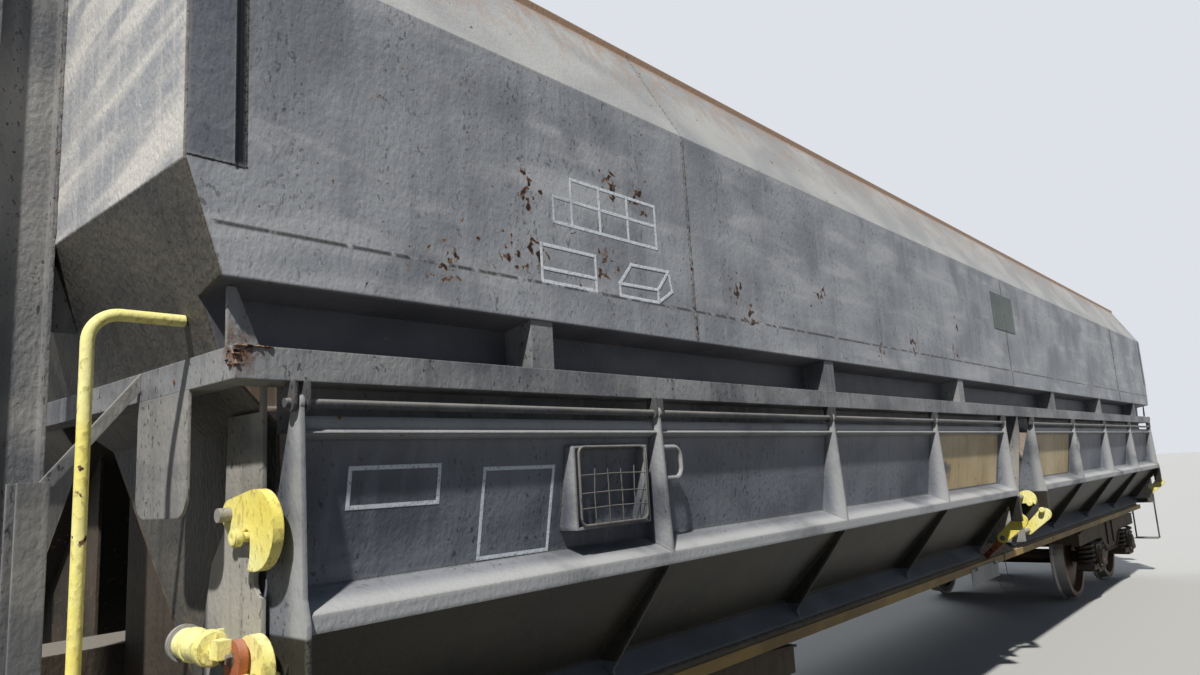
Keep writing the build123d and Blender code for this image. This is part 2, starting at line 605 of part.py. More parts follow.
# Draw hooks: forged hooks on the headstocks, their jaw open to the top, and the screw coupling hanging in each
LINK_PIN = 44
LINK_BAR = 20
LINK_LENGTH = 200
SCREW_DIAMETER = 40
SCREW_LENGTH = 220
BOW_LENGTH = 120
link_x = HEADSTOCK_FACE + 150
HOOK_LENGTH = 330
HOOK_THICKNESS = 60
HOOK_SHANK = 90
HOOK_RISE = 80
HOOK_THROAT = 34
with BuildPart() as draw_hooks:
    for end in ENDS.values():
        throat_x = HEADSTOCK_FACE + HOOK_LENGTH - HOOK_SHANK
        outline = [
            (HEADSTOCK_FACE, BUFFER_HEIGHT - HOOK_SHANK / 2),
            (HEADSTOCK_FACE, BUFFER_HEIGHT + HOOK_SHANK / 2),
            (throat_x - HOOK_THROAT, BUFFER_HEIGHT + HOOK_SHANK / 2),
            (throat_x - HOOK_THROAT, BUFFER_HEIGHT),
            (throat_x + HOOK_THROAT, BUFFER_HEIGHT),
            (throat_x + HOOK_THROAT, BUFFER_HEIGHT + HOOK_RISE),
            (HEADSTOCK_FACE + HOOK_LENGTH, BUFFER_HEIGHT + HOOK_RISE),
            (HEADSTOCK_FACE + HOOK_LENGTH, BUFFER_HEIGHT - HOOK_SHANK / 2),
            (throat_x, BUFFER_HEIGHT - HOOK_SHANK),
        ]
        with BuildSketch(along(0)):
            Polygon(*[(end * x, z) for x, z in outline], align=None)
        extrude(amount=HOOK_THICKNESS / 2, both=True)
        with BuildSketch(along(0)):
            with Locations((end * link_x, BUFFER_HEIGHT)):
                Circle(LINK_PIN / 2)
            with Locations((end * link_x, BUFFER_HEIGHT - LINK_LENGTH)):
                Circle(LINK_PIN / 2)
            with Locations((end * link_x, BUFFER_HEIGHT - LINK_LENGTH - SCREW_LENGTH)):
                Circle(LINK_PIN / 2)
        extrude(amount=HOOK_THICKNESS / 2 + LINK_BAR, both=True)
        for side in SIDES.values():
            link_y = side * (HOOK_THICKNESS / 2 + LINK_BAR / 2)
            with Locations((end * link_x, link_y, FLANGE_DEPTH + BUFFER_HEIGHT)):
                Box(LINK_PIN, LINK_BAR, LINK_LENGTH, align=(Align.CENTER, Align.CENTER, Align.MAX))
            with Locations((end * link_x, link_y, FLANGE_DEPTH + BUFFER_HEIGHT - LINK_LENGTH - SCREW_LENGTH)):
                Box(LINK_PIN, LINK_BAR, BOW_LENGTH, align=(Align.CENTER, Align.CENTER, Align.MAX))
        with Locations((end * link_x, 0, FLANGE_DEPTH + BUFFER_HEIGHT - LINK_LENGTH)):
            Cylinder(SCREW_DIAMETER / 2, SCREW_LENGTH, align=(Align.CENTER, Align.CENTER, Align.MAX))
        bow_foot = FLANGE_DEPTH + BUFFER_HEIGHT - LINK_LENGTH - SCREW_LENGTH - BOW_LENGTH
        with Locations((end * link_x, 0, bow_foot)):
            Box(LINK_PIN, HOOK_THICKNESS + 2 * LINK_BAR, LINK_BAR,
                align=(Align.CENTER, Align.CENTER, Align.MAX))
draw_hooks.part.label = "draw_hooks"
export_step(draw_hooks.part, "parts/draw_hooks.step")

# Handrails: bent round bars at the corners, from the end beam out and down to the headstock
HANDRAIL = 30
HANDRAIL_OFFSET = 1200
HANDRAIL_FACE = 6580
HANDRAIL_TOP = 2150
HANDRAIL_BEND = 70
with BuildPart() as handrails:
    for end in ENDS.values():
        for side in SIDES.values():
            bar_top = FLANGE_DEPTH + HANDRAIL_TOP
            start = (end * end_face_at(HANDRAIL_TOP + HANDRAIL / 2), side * HANDRAIL_OFFSET, bar_top)
            with BuildLine() as rail_path:
                FilletPolyline(
                    start,
                    (end * HANDRAIL_FACE, start[1], bar_top),
                    (end * HANDRAIL_FACE, start[1], FLANGE_DEPTH + HEADSTOCK_TOP),
                    radius=HANDRAIL_BEND,
                )
            with BuildSketch(Plane(origin=start, z_dir=(end, 0, 0))):
                Circle(HANDRAIL / 2)
            sweep(path=rail_path.line)
handrails.part.label = "handrails"
export_step(handrails.part, "parts/handrails.step")

# Hinge bars: a round bar along the top of each door, in lugs under the sill rail
HINGE_LUG = 10
LUG_WIDTH = 44
LUG_SPACING = 36
gusset_positions = [DOOR_START + DOOR_PITCH * number for number in range(DOOR_PANELS + 1)]
for side_name, side in SIDES.items():
    with BuildPart() as hinge_bar:
        for end in ENDS.values():
            with BuildSketch(across(end * (DOOR_START + DOOR_END) / 2, side)):
                with Locations((HINGE_Y, HINGE_Z)):
                    Circle(HINGE_BAR / 2)
            extrude(amount=(DOOR_END - DOOR_START) / 2 + LUG_SPACING, both=True)
            for position in gusset_positions:
                for lug in (-LUG_SPACING / 2, LUG_SPACING / 2):
                    with BuildSketch(across(end * (position + lug), side)):
                        with Locations((HINGE_Y, HINGE_Z)):
                            Circle(LUG_WIDTH / 2)
                        with Locations((HINGE_Y, (HINGE_Z + RAIL_BOTTOM) / 2)):
                            Rectangle(LUG_WIDTH, RAIL_BOTTOM - HINGE_Z)
                    extrude(amount=HINGE_LUG / 2, both=True)
    hinge_bar.part.label = f"hinge_bar_{side_name}"
    export_step(hinge_bar.part, f"parts/hinge_bar_{side_name}.step")

# Doors: folded skin with gussets, ribs, end plates with lock pins, and hinge ears round the bar
END_PLATE_LUG = 1188
END_PLATE_HEAD = 21
GUSSET_TIP = 17
PIN_BOSS = 56
end_plate_outline = [
    (HINGE_Y - END_PLATE_HEAD, HINGE_Z), (HINGE_Y + END_PLATE_HEAD, HINGE_Z), (1461, 1460), (1478, 1400),
    (1478, END_PLATE_LUG), (1395, END_PLATE_LUG), (1395, 1303), RIB_FOOT, DOOR_FLANGE_TIP, DOOR_FOOT,
    (1046, 1020), (1267, 1290), (1267, 1460),
]
gusset_outline = [
    (HINGE_Y - GUSSET_TIP, HINGE_Z), (HINGE_Y + GUSSET_TIP, HINGE_Z), BELLY_EDGE, PANEL_FOOT, PANEL_TOP,
    LEDGE, LEDGE_TOP, DOOR_TOP,
]
rib_outline = [BELLY_UNDER, RIB_TOP, RIB_FOOT, DOOR_FLANGE_TIP, DOOR_FOOT]

# Grip and card holder: every door has a grip beside a gusset, the door that leads on its side has a holder too
LEADING_DOORS = [("rear", "right"), ("front", "left")]
GRIP_DIAMETER = 18
GRIP_PLACE = 1425
GRIP_TOP = 1797
GRIP_FOOT = 1681
GRIP_REACH = 130
GRIP_BEND = 40
HOLDER_START = 4806
HOLDER_END = 5198
HOLDER_TOP = 1808
HOLDER_FOOT = 1532
HOLDER_FACE = 1425


def panel_face_at(height):
    """Distance of the door panel's outer face from the middle at a height."""
    rise = (height - PANEL_FOOT[1]) / (PANEL_TOP[1] - PANEL_FOOT[1])
    return PANEL_FOOT[0] + (PANEL_TOP[0] - PANEL_FOOT[0]) * rise


for end_name, end in ENDS.items():
    for side_name, side in SIDES.items():
        with BuildPart() as door:
            middle = end * (DOOR_START + DOOR_END) / 2
            with BuildSketch(across(middle, side)):
                Polygon(*bent_sheet(door_path, SHEET), align=None)
                Polygon(*bent_sheet([DOOR_FOOT, DOOR_FLANGE_TIP], SHEET), align=None)
            extrude(amount=(DOOR_END - DOOR_START) / 2, both=True)
            for position in gusset_positions:
                with BuildSketch(across(end * position, side)):
                    if position in (gusset_positions[0], gusset_positions[-1]):
                        Polygon(*end_plate_outline, align=None)
                        for lock in LOCKS.values():
                            if (position, 1) in lock_ends(lock) or (position, -1) in lock_ends(lock):
                                with Locations(lock["pin"]):
                                    Circle(PIN_BOSS / 2)
                    else:
                        Polygon(*gusset_outline, align=None)
                        Polygon(*rib_outline, align=None)
                    with Locations((HINGE_Y, HINGE_Z)):
                        Circle(HINGE_EAR / 2)
                        Circle(HINGE_BAR / 2 + PIN_FIT, mode=Mode.SUBTRACT)
                extrude(amount=GUSSET / 2, both=True)
            for lock in LOCKS.values():
                for plate, way in lock_ends(lock):
                    shank = plate + way * (GUSSET / 2 + PIN_LENGTH / 2)
                    with BuildSketch(across(end * shank, side)):
                        with Locations(lock["pin"]):
                            Circle(PIN_DIAMETER / 2)
                    extrude(amount=PIN_LENGTH / 2, both=True)
                    head = plate + way * (GUSSET / 2 + PIN_LENGTH - PIN_HEAD_LENGTH / 2)
                    with BuildSketch(across(end * head, side)):
                        with Locations(lock["pin"]):
                            Circle(PIN_HEAD / 2)
                    extrude(amount=PIN_HEAD_LENGTH / 2, both=True)
            leading = (end_name, side_name) in LEADING_DOORS
            grip_gusset, grip_way = (gusset_positions[-2], -1) if leading else (gusset_positions[1], 1)
            grip_start = grip_gusset + grip_way * GUSSET / 2
            grip_stop = grip_start + grip_way * GRIP_REACH
            grip_corners = [(grip_start, GRIP_TOP), (grip_stop, GRIP_TOP),
                            (grip_stop, GRIP_FOOT), (grip_start, GRIP_FOOT)]
            with BuildLine() as grip:
                FilletPolyline(*[(end * x, side * GRIP_PLACE, FLANGE_DEPTH + z) for x, z in grip_corners],
                               radius=GRIP_BEND)
            with BuildSketch(Plane(origin=grip.line @ 0, z_dir=grip.line % 0)):
                Circle(GRIP_DIAMETER / 2)
            sweep(path=grip.line)
            if leading:
                with BuildSketch(across(end * (HOLDER_START + HOLDER_END) / 2, side)):
                    holder = [(panel_face_at(HOLDER_FOOT), HOLDER_FOOT), (HOLDER_FACE, HOLDER_FOOT),
                              (HOLDER_FACE, HOLDER_TOP), (panel_face_at(HOLDER_TOP), HOLDER_TOP)]
                    Polygon(*holder, align=None)
                extrude(amount=(HOLDER_END - HOLDER_START) / 2, both=True)
                with BuildSketch(across(end * (HOLDER_START + HOLDER_END) / 2, side)):
                    floor, ceiling = HOLDER_FOOT + SHEET, HOLDER_TOP - SHEET
                    inside = [(panel_face_at(floor), floor), (HOLDER_FACE, floor),
                              (HOLDER_FACE, ceiling), (panel_face_at(ceiling), ceiling)]
                    Polygon(*inside, align=None)
                extrude(amount=(HOLDER_END - HOLDER_START) / 2 - SHEET, both=True, mode=Mode.SUBTRACT)
        door.part.label = f"door_{end_name}_{side_name}"
        export_step(door.part, f"parts/door_{end_name}_{side_name}.step")

# Lock claws: one or two claws that turn together, each on its own stub of the shaft
for end_name, end in ENDS.items():
    for side_name, side in SIDES.items():
        for lock_name, lock in LOCKS.items():
            with BuildPart() as claw:
                for plate, way in lock_ends(lock):
                    with BuildSketch(across(end * (plate + way * (GUSSET / 2 + CLAW_OFFSET)), side)):
                        add(claw_face(lock))
                    extrude(amount=CLAW_THICKNESS / 2, both=True)
            claw.part.label = f"lock_{lock_name}_{end_name}_{side_name}"
            export_step(claw.part, f"parts/lock_{lock_name}_{end_name}_{side_name}.step")

# Lock shafts: stub shafts on the corner plates, and through shafts in a web in the middle gap
WEB_INNER = 1070
WEB_OUTER = 1370
with BuildPart() as lock_shafts:
    claw_face_x = GUSSET / 2 + CLAW_OFFSET + CLAW_THICKNESS / 2
    for side in SIDES.values():
        for lock in LOCKS.values():
            for plate, way in lock_ends(lock):
                if way > 0:
                    near, far = CORNER_PLATE_FACE, plate + claw_face_x + SHAFT_OVERHANG
                else:
                    near, far = 0, plate - claw_face_x + CLAW_THICKNESS + RUNNING_GAP
                for end in ENDS.values():
                    with BuildSketch(across(end * (near + far) / 2, side)):
                        with Locations(lock["pivot"]):
                            Circle(LOCK_SHAFT / 2)
                    extrude(amount=(far - near) / 2, both=True)
        with BuildSketch(across(0, side)):
            web = [(WEB_INNER, SADDLE_RIDGE - WEB_INNER), (RECESS_FACE - SHEET, SKIRT_BOTTOM - SHEET),
                   (RECESS_FACE + SHEET, SKIRT_BOTTOM - SHEET), (RECESS_FACE + SHEET, RAIL_BOTTOM),
                   (SIDE_FACE, RAIL_BOTTOM), (SIDE_FACE, PANEL_TOP[1]), (WEB_OUTER, BELLY_EDGE[1]),
                   (WEB_OUTER, SILL_BOTTOM)]
            Polygon(*web, align=None)
        extrude(amount=CORNER_PLATE / 2, both=True)
lock_shafts.part.label = "lock_shafts"
export_step(lock_shafts.part, "parts/lock_shafts.step")

# Closing rods: a spring cylinder across each corner, on a bracket of the corner plate, with rod and rod eye
ROD_PLACE = 6300
ROD_HEIGHT = 1352
ROD_CYLINDER = 76
ROD_CYLINDER_START = 1085
ROD_CYLINDER_END = 1250
ROD_FLANGE = 12
ROD_DIAMETER = 24
ROD_EYE = 44
LEVER_THICKNESS = 22
LEVER_HEAD = (1300, 1332)
LEVER_HEAD_RADIUS = 40
LEVER_FOOT = (1294, 1225)
LEVER_FOOT_RADIUS = 24
lever_start = DOOR_END + claw_face_x + RUNNING_GAP
lever_end = lever_start + LEVER_THICKNESS
with BuildPart() as closing_rods:
    for end in ENDS.values():
        for side in SIDES.values():
            middle_line = Plane(origin=(end * ROD_PLACE, 0, FLANGE_DEPTH + ROD_HEIGHT), z_dir=(0, side, 0))
            for diameter, stop in ((ROD_CYLINDER, ROD_CYLINDER_END), (ROD_DIAMETER, LEVER_HEAD[0]),
                                   (ROD_CYLINDER + 2 * RUNNING_GAP, ROD_CYLINDER_START + ROD_FLANGE)):
                with BuildSketch(middle_line.offset(ROD_CYLINDER_START)):
                    Circle(diameter / 2)
                extrude(amount=stop - ROD_CYLINDER_START)
            eye_depth = ROD_PLACE + ROD_DIAMETER / 2 - lever_end
            with Locations((end * (lever_end + eye_depth / 2), side * (LEVER_HEAD[0] - ROD_EYE / 2),
                            FLANGE_DEPTH + ROD_HEIGHT)):
                Box(eye_depth, ROD_EYE, ROD_EYE)
            bracket_depth = ROD_PLACE - CORNER_PLATE_FACE
            with Locations((end * (CORNER_PLATE_FACE + bracket_depth / 2),
                            side * (ROD_CYLINDER_START + ROD_EYE / 2), FLANGE_DEPTH + ROD_HEIGHT)):
                Box(bracket_depth, ROD_EYE / 2, ROD_EYE)
closing_rods.part.label = "closing_rods"
export_step(closing_rods.part, "parts/closing_rods.step")

# Lock levers: one on each outer stub of the main locks' shafts
with BuildPart() as lock_levers:
    for end in ENDS.values():
        for side in SIDES.values():
            with BuildSketch(across(end * (lever_start + lever_end) / 2, side)):
                with Locations(LEVER_HEAD):
                    Circle(LEVER_HEAD_RADIUS)
                with Locations(LEVER_FOOT):
                    Circle(LEVER_FOOT_RADIUS)
                make_hull()
                with Locations(LOCKS["main"]["pivot"]):
                    Circle(LOCK_SHAFT / 2, mode=Mode.SUBTRACT)
            extrude(amount=LEVER_THICKNESS / 2, both=True)
lock_levers.part.label = "lock_levers"
export_step(lock_levers.part, "parts/lock_levers.step")

# Steps: a tread between two hangers under each headstock end
STEP_WIDTH = 280
STEP_DEPTH = 180
STEP_HEIGHT = 420
STEP_BAR = 12
with BuildPart() as steps:
    for end in ENDS.values():
        for side in SIDES.values():
            step_x = end * (HEADSTOCK_FACE - STEP_DEPTH / 2)
            step_y = HEADSTOCK_HALF_WIDTH - STEP_WIDTH / 2
            with Locations((step_x, side * step_y, FLANGE_DEPTH + STEP_HEIGHT)):
                Box(STEP_DEPTH, STEP_WIDTH, STEP_BAR, align=(Align.CENTER, Align.CENTER, Align.MIN))
            for hanger in (-1, 1):
                hanger_y = step_y + hanger * (STEP_WIDTH - STEP_BAR) / 2
                with Locations((end * (HEADSTOCK_FACE - HEADSTOCK_DEPTH / 2), side * hanger_y,
                                FLANGE_DEPTH + STEP_HEIGHT)):
                    Box(HEADSTOCK_DEPTH / 2, STEP_BAR, HEADSTOCK_BOTTOM - STEP_HEIGHT,
                        align=(Align.CENTER, Align.CENTER, Align.MIN))
steps.part.label = "steps"
export_step(steps.part, "parts/steps.step")

# Brake gear under the sill: cylinder and air reservoir
CYLINDER_DIAMETER = 300
CYLINDER_LENGTH = 420
CYLINDER_X = -1200
RESERVOIR_DIAMETER = 340
RESERVOIR_LENGTH = 900
RESERVOIR_X = 700
with BuildPart() as brake_cylinder:
    with BuildSketch(across(CYLINDER_X)):
        with Locations((0, SILL_BOTTOM - CYLINDER_DIAMETER / 2)):
            Circle(CYLINDER_DIAMETER / 2)
    extrude(amount=CYLINDER_LENGTH / 2, both=True)
    with Locations((CYLINDER_X, 0, FLANGE_DEPTH + SILL_BOTTOM)):
        Box(CYLINDER_LENGTH / 2, CYLINDER_DIAMETER / 2, CYLINDER_DIAMETER / 2,
            align=(Align.CENTER, Align.CENTER, Align.MAX))
brake_cylinder.part.label = "brake_cylinder"
export_step(brake_cylinder.part, "parts/brake_cylinder.step")

with BuildPart() as air_reservoir:
    with BuildSketch(across(RESERVOIR_X)):
        with Locations((0, SILL_BOTTOM - RESERVOIR_DIAMETER / 2)):
            Circle(RESERVOIR_DIAMETER / 2)
    extrude(amount=RESERVOIR_LENGTH / 2, both=True)
    with Locations((RESERVOIR_X, 0, FLANGE_DEPTH + SILL_BOTTOM)):
        Box(RESERVOIR_LENGTH / 2, RESERVOIR_DIAMETER / 2, RESERVOIR_DIAMETER / 2,
            align=(Align.CENTER, Align.CENTER, Align.MAX))
air_reservoir.part.label = "air_reservoir"
export_step(air_reservoir.part, "parts/air_reservoir.step")

# Bogies: two side frames on a bolster, axleboxes between coil springs
FRAME_HALF_LENGTH = 1560
FRAME_THICKNESS = 80
FRAME_TOP = 830
FRAME_BOTTOM = 640
FRAME_DROP = 470
BOLSTER_HALF_WIDTH = 260
SPRING_DIAMETER = 180
SPRING_OFFSET = 250
SPRING_SEAT = 400
BOX_WIDTH = 280
BOX_HEIGHT = 300
WING = 50
FRAME_FALL = 60
END_BEAM_DROP = 80
END_BEAM_HEIGHT = 90
COIL_WIRE = 30
COIL_PITCH = 52

# One coil spring, on its seat at the origin
coil_radius = (SPRING_DIAMETER - COIL_WIRE) / 2
with BuildPart() as coil_part:
    with BuildLine() as coil_line:
        Helix(COIL_PITCH, FRAME_BOTTOM - SPRING_SEAT - COIL_WIRE, coil_radius, center=(0, 0, COIL_WIRE / 2))
    with BuildSketch(Plane(origin=coil_line.line @ 0, z_dir=coil_line.line % 0)):
        Circle(COIL_WIRE / 2)
    sweep(path=coil_line.line, is_frenet=True)
coil = coil_part.part

for end_name, end in ENDS.items():
    pivot = end * PIVOT_CENTRE
    with BuildPart() as bogie_frame:
        half = [
            (0, FRAME_TOP), (WHEELBASE / 2 - SPRING_OFFSET, FRAME_TOP), 
            (FRAME_HALF_LENGTH, FRAME_TOP - FRAME_FALL), (FRAME_HALF_LENGTH, FRAME_BOTTOM),
            (WHEELBASE / 2 - SPRING_OFFSET - SPRING_DIAMETER / 2, FRAME_BOTTOM),
            (BOLSTER_HALF_WIDTH, FRAME_DROP), (0, FRAME_DROP),
        ]
        for side in SIDES.values():
            with BuildSketch(along(side * JOURNAL_CENTRE)):
                Polygon(*[(pivot + x, z) for x, z in half], align=None)
                Polygon(*[(pivot - x, z) for x, z in half], align=None)
            extrude(amount=FRAME_THICKNESS / 2, both=True)
        with Locations((pivot, 0, FLANGE_DEPTH + FRAME_TOP)):
            Box(2 * BOLSTER_HALF_WIDTH, 2 * JOURNAL_CENTRE, FRAME_TOP - FRAME_BOTTOM,
                align=(Align.CENTER, Align.CENTER, Align.MAX))
        with BuildSketch(level(FRAME_TOP)):
            with Locations((pivot, 0)):
                Circle(PIVOT_PLATE_DIAMETER / 2)
        extrude(amount=PIVOT_PLATE_BOTTOM - FRAME_TOP)
        for beam in (-1, 1):
            end_beam_top = FLANGE_DEPTH + FRAME_TOP - END_BEAM_DROP
            with Locations((pivot + beam * (FRAME_HALF_LENGTH - WING / 2), 0, end_beam_top)):
                Box(WING, 2 * JOURNAL_CENTRE, END_BEAM_HEIGHT,
                    align=(Align.CENTER, Align.CENTER, Align.MAX))
    bogie_frame.part.label = f"bogie_frame_{end_name}"
    export_step(bogie_frame.part, f"parts/bogie_frame_{end_name}.step")

    axles = [pivot - WHEELBASE / 2, pivot + WHEELBASE / 2]
    with BuildPart() as axleboxes:
        for axle in axles:
            for side in SIDES.values():
                with BuildSketch(along(side * JOURNAL_CENTRE)):
                    with Locations((axle, SPRING_SEAT - WING / 2)):
                        Rectangle(2 * SPRING_OFFSET + SPRING_DIAMETER, WING)
                    with Locations((axle, WHEEL_RADIUS)):
                        Rectangle(BOX_WIDTH, BOX_HEIGHT)
                        Circle(JOURNAL_DIAMETER / 2 + PIN_FIT, mode=Mode.SUBTRACT)
                extrude(amount=SPRING_DIAMETER / 2, both=True)
    axleboxes.part.label = f"axleboxes_{end_name}"
    export_step(axleboxes.part, f"parts/axleboxes_{end_name}.step")

    with BuildPart() as springs:
        for axle in axles:
            for side in SIDES.values():
                for spring in (-1, 1):
                    seat = (axle + spring * SPRING_OFFSET, side * JOURNAL_CENTRE, FLANGE_DEPTH + SPRING_SEAT)
                    with Locations(seat):
                        add(coil)
    springs.part.label = f"springs_{end_name}"
    export_step(springs.part, f"parts/springs_{end_name}.step")

# Brake blocks: a beam beside each axle with a block at each wheel, on hangers from the bolster
BLOCK_GAP = 8
BLOCK_DEPTH = 45
BLOCK_WIDTH = 85
BLOCK_ARC = 18
BLOCK_SEAT = 12
BEAM_DEPTH = 50
HANGER_PLACE = 560
HANGER_WIDTH = 60
for end_name, end in ENDS.items():
    with BuildPart() as brake_blocks:
        pivot = end * PIVOT_CENTRE
        tread_middle = (WHEEL_INNER_FACE + FLANGE_THICKNESS + WHEEL_OUTER_FACE) / 2
        for way in (-1, 1):
            axle = pivot + way * WHEELBASE / 2
            for side in SIDES.values():
                with BuildSketch(along(side * tread_middle)):
                    with Locations((axle, WHEEL_RADIUS)):
                        Circle(WHEEL_RADIUS + BLOCK_GAP + BLOCK_DEPTH)
                        Circle(WHEEL_RADIUS + BLOCK_GAP, mode=Mode.SUBTRACT)
                    with Locations((axle - way * WHEEL_RADIUS, WHEEL_RADIUS)):
                        block_height = 2 * WHEEL_RADIUS * sin(radians(BLOCK_ARC))
                        Rectangle(WHEEL_RADIUS, block_height, mode=Mode.INTERSECT)
                extrude(amount=BLOCK_WIDTH / 2, both=True)
                with BuildSketch(along(side * HANGER_PLACE)):
                    beam_face = WHEELBASE / 2 - WHEEL_RADIUS - BLOCK_GAP - BLOCK_DEPTH + BLOCK_SEAT
                    hanger = [(BOLSTER_HALF_WIDTH, FRAME_BOTTOM),
                              (BOLSTER_HALF_WIDTH, FRAME_BOTTOM + HANGER_WIDTH),
                              (beam_face, WHEEL_RADIUS), (beam_face - BEAM_DEPTH, WHEEL_RADIUS)]
                    Polygon(*[(pivot + way * x, z) for x, z in hanger], align=None)
                extrude(amount=GUSSET / 2, both=True)
            with Locations((pivot + way * (beam_face - BEAM_DEPTH / 2), 0, FLANGE_DEPTH + WHEEL_RADIUS)):
                Box(BEAM_DEPTH, 2 * tread_middle + BLOCK_WIDTH, BEAM_DEPTH)
    brake_blocks.part.label = f"brake_blocks_{end_name}"
    export_step(brake_blocks.part, f"parts/brake_blocks_{end_name}.step")

# Wheelsets: axle and two wheels turned as one profile
TREAD_CONE = 1 / 20
wheel_profile = [
    (0, 0), (0, AXLE_DIAMETER / 2), (WHEEL_INNER_FACE, AXLE_DIAMETER / 2),
    (WHEEL_INNER_FACE, HUB_DIAMETER / 2),
    (WHEEL_INNER_FACE + RIM_THICKNESS / 2, WHEEL_RADIUS - RIM_THICKNESS),
    (WHEEL_INNER_FACE, WHEEL_RADIUS - RIM_THICKNESS), (WHEEL_INNER_FACE, WHEEL_RADIUS + FLANGE_DEPTH),
    (WHEEL_INNER_FACE + FLANGE_THICKNESS / 2, WHEEL_RADIUS + FLANGE_DEPTH),
    (WHEEL_INNER_FACE + FLANGE_THICKNESS, WHEEL_RADIUS),
    (WHEEL_OUTER_FACE, WHEEL_RADIUS - (WHEEL_OUTER_FACE - WHEEL_INNER_FACE) * TREAD_CONE),
    (WHEEL_OUTER_FACE, WHEEL_RADIUS - RIM_THICKNESS),
    (WHEEL_INNER_FACE + RIM_THICKNESS / 2 + DISC_THICKNESS, WHEEL_RADIUS - RIM_THICKNESS),
    (WHEEL_OUTER_FACE, HUB_DIAMETER / 2), (WHEEL_OUTER_FACE, JOURNAL_DIAMETER / 2),
    (AXLE_END, JOURNAL_DIAMETER / 2), (AXLE_END, 0),
]
axle_positions = [-PIVOT_CENTRE - WHEELBASE / 2, -PIVOT_CENTRE + WHEELBASE / 2,
                  PIVOT_CENTRE - WHEELBASE / 2, PIVOT_CENTRE + WHEELBASE / 2]
for number, axle in enumerate(axle_positions, start=1):
    with BuildPart() as wheelset:
        axis_origin = (axle, 0, FLANGE_DEPTH + WHEEL_RADIUS)
        with BuildSketch(Plane(origin=axis_origin, x_dir=(0, 1, 0), z_dir=(1, 0, 0))):
            Polygon(*wheel_profile, align=None)
        revolve(axis=Axis(axis_origin, (0, 1, 0)))
        mirror(about=Plane.XZ)
    wheelset.part.label = f"wheelset_{number}"
    export_step(wheelset.part, f"parts/wheelset_{number}.step")
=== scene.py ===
"""Photo-like scene of the open hopper wagon: finishes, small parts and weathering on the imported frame."""
import math
import random

import bmesh
import bpy
from mathutils import Matrix, Vector


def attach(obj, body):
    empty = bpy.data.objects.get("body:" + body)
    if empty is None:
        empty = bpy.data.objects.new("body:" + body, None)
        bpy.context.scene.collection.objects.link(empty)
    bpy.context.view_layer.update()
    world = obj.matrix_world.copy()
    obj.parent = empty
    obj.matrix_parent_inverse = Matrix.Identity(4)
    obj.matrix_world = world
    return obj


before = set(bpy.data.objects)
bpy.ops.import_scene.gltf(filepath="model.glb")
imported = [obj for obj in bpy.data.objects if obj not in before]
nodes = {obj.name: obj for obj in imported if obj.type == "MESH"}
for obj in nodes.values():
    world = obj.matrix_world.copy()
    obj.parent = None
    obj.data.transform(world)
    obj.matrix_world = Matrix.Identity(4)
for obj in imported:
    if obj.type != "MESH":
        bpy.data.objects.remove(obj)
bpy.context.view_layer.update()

# Camera: stands by the rear right corner at eye height, as in the photo; its horizon leans a little
CAMERA_PLACE = (-7.233, -3.336, 1.734)
CAMERA_YAW = 0.71426
CAMERA_PITCH = 0.16397
CAMERA_ROLL = -0.05867
CAMERA_LENS = 24.97
SENSOR_WIDTH = 36

ahead = Vector((
    math.cos(CAMERA_YAW) * math.cos(CAMERA_PITCH),
    math.sin(CAMERA_YAW) * math.cos(CAMERA_PITCH),
    math.sin(CAMERA_PITCH),
))
level_right = Vector((math.sin(CAMERA_YAW), -math.cos(CAMERA_YAW), 0))
level_up = level_right.cross(ahead)
right = math.cos(CAMERA_ROLL) * level_right + math.sin(CAMERA_ROLL) * level_up
up = right.cross(ahead)
camera_data = bpy.data.cameras.new("photo_camera")
camera_data.sensor_width = SENSOR_WIDTH
camera_data.lens = CAMERA_LENS
camera_data.clip_start = 0.02
camera_data.clip_end = 500
camera = bpy.data.objects.new("photo_camera", camera_data)
camera.matrix_world = Matrix.Translation(CAMERA_PLACE) @ Matrix((right, up, -ahead)).transposed().to_4x4()
bpy.context.scene.collection.objects.link(camera)
bpy.context.scene.camera = camera
bpy.context.scene.view_settings.view_transform = "Standard"

# Hopper sides: each is one sheet of steel, folded at the crease and the lip, with a lapped seam, an upright
# butt weld and a rim bar. The dark grey paint went on by brush over old rust, so it is pitted and cloudy,
# pale with dust on the slope, and rust breaks through it in clusters.
TREAD = 0.028  # height of the wheels' treads over their flange tips, which stand on z = 0
CREASE = 3.11 + TREAD
LIP = 2.22 + TREAD
SEAM = 2.35 + TREAD
TOP = 3.60 + TREAD
SIDE_FACE = 1.43
SEAM_LAP = 0.004
BUTT_WELD_X = 4.43


def shader(tree, kind, inputs=(), **settings):
    """Adds a shader node with its settings; an input is a plain value or a socket to link."""
    made = tree.nodes.new("ShaderNode" + kind)
    for key, value in settings.items():
        setattr(made, key, value)
    for key, value in dict(inputs).items():
        if isinstance(value, bpy.types.NodeSocket):
            tree.links.new(value, made.inputs[key])
        else:
            made.inputs[key].default_value = value
    return made


def math_of(operation, *values, clamp=False):
    """Result socket of a math node, in the tree of the sockets among its values."""
    tree = next(value.id_data for value in values if isinstance(value, bpy.types.NodeSocket))
    return shader(tree, "Math", dict(enumerate(values)), operation=operation, use_clamp=clamp).outputs[0]


def absolute(value):
    """Value without its sign, so that both sides or both ends of the wagon look the same."""
    return math_of("ABSOLUTE", value)


def clamped(operation):
    """Function that adds a math node of two values and gives its result, kept between 0 and 1."""
    return lambda first, second: math_of(operation, first, second, clamp=True)


times, plus, minus, larger = map(clamped, ("MULTIPLY", "ADD", "SUBTRACT", "MAXIMUM"))


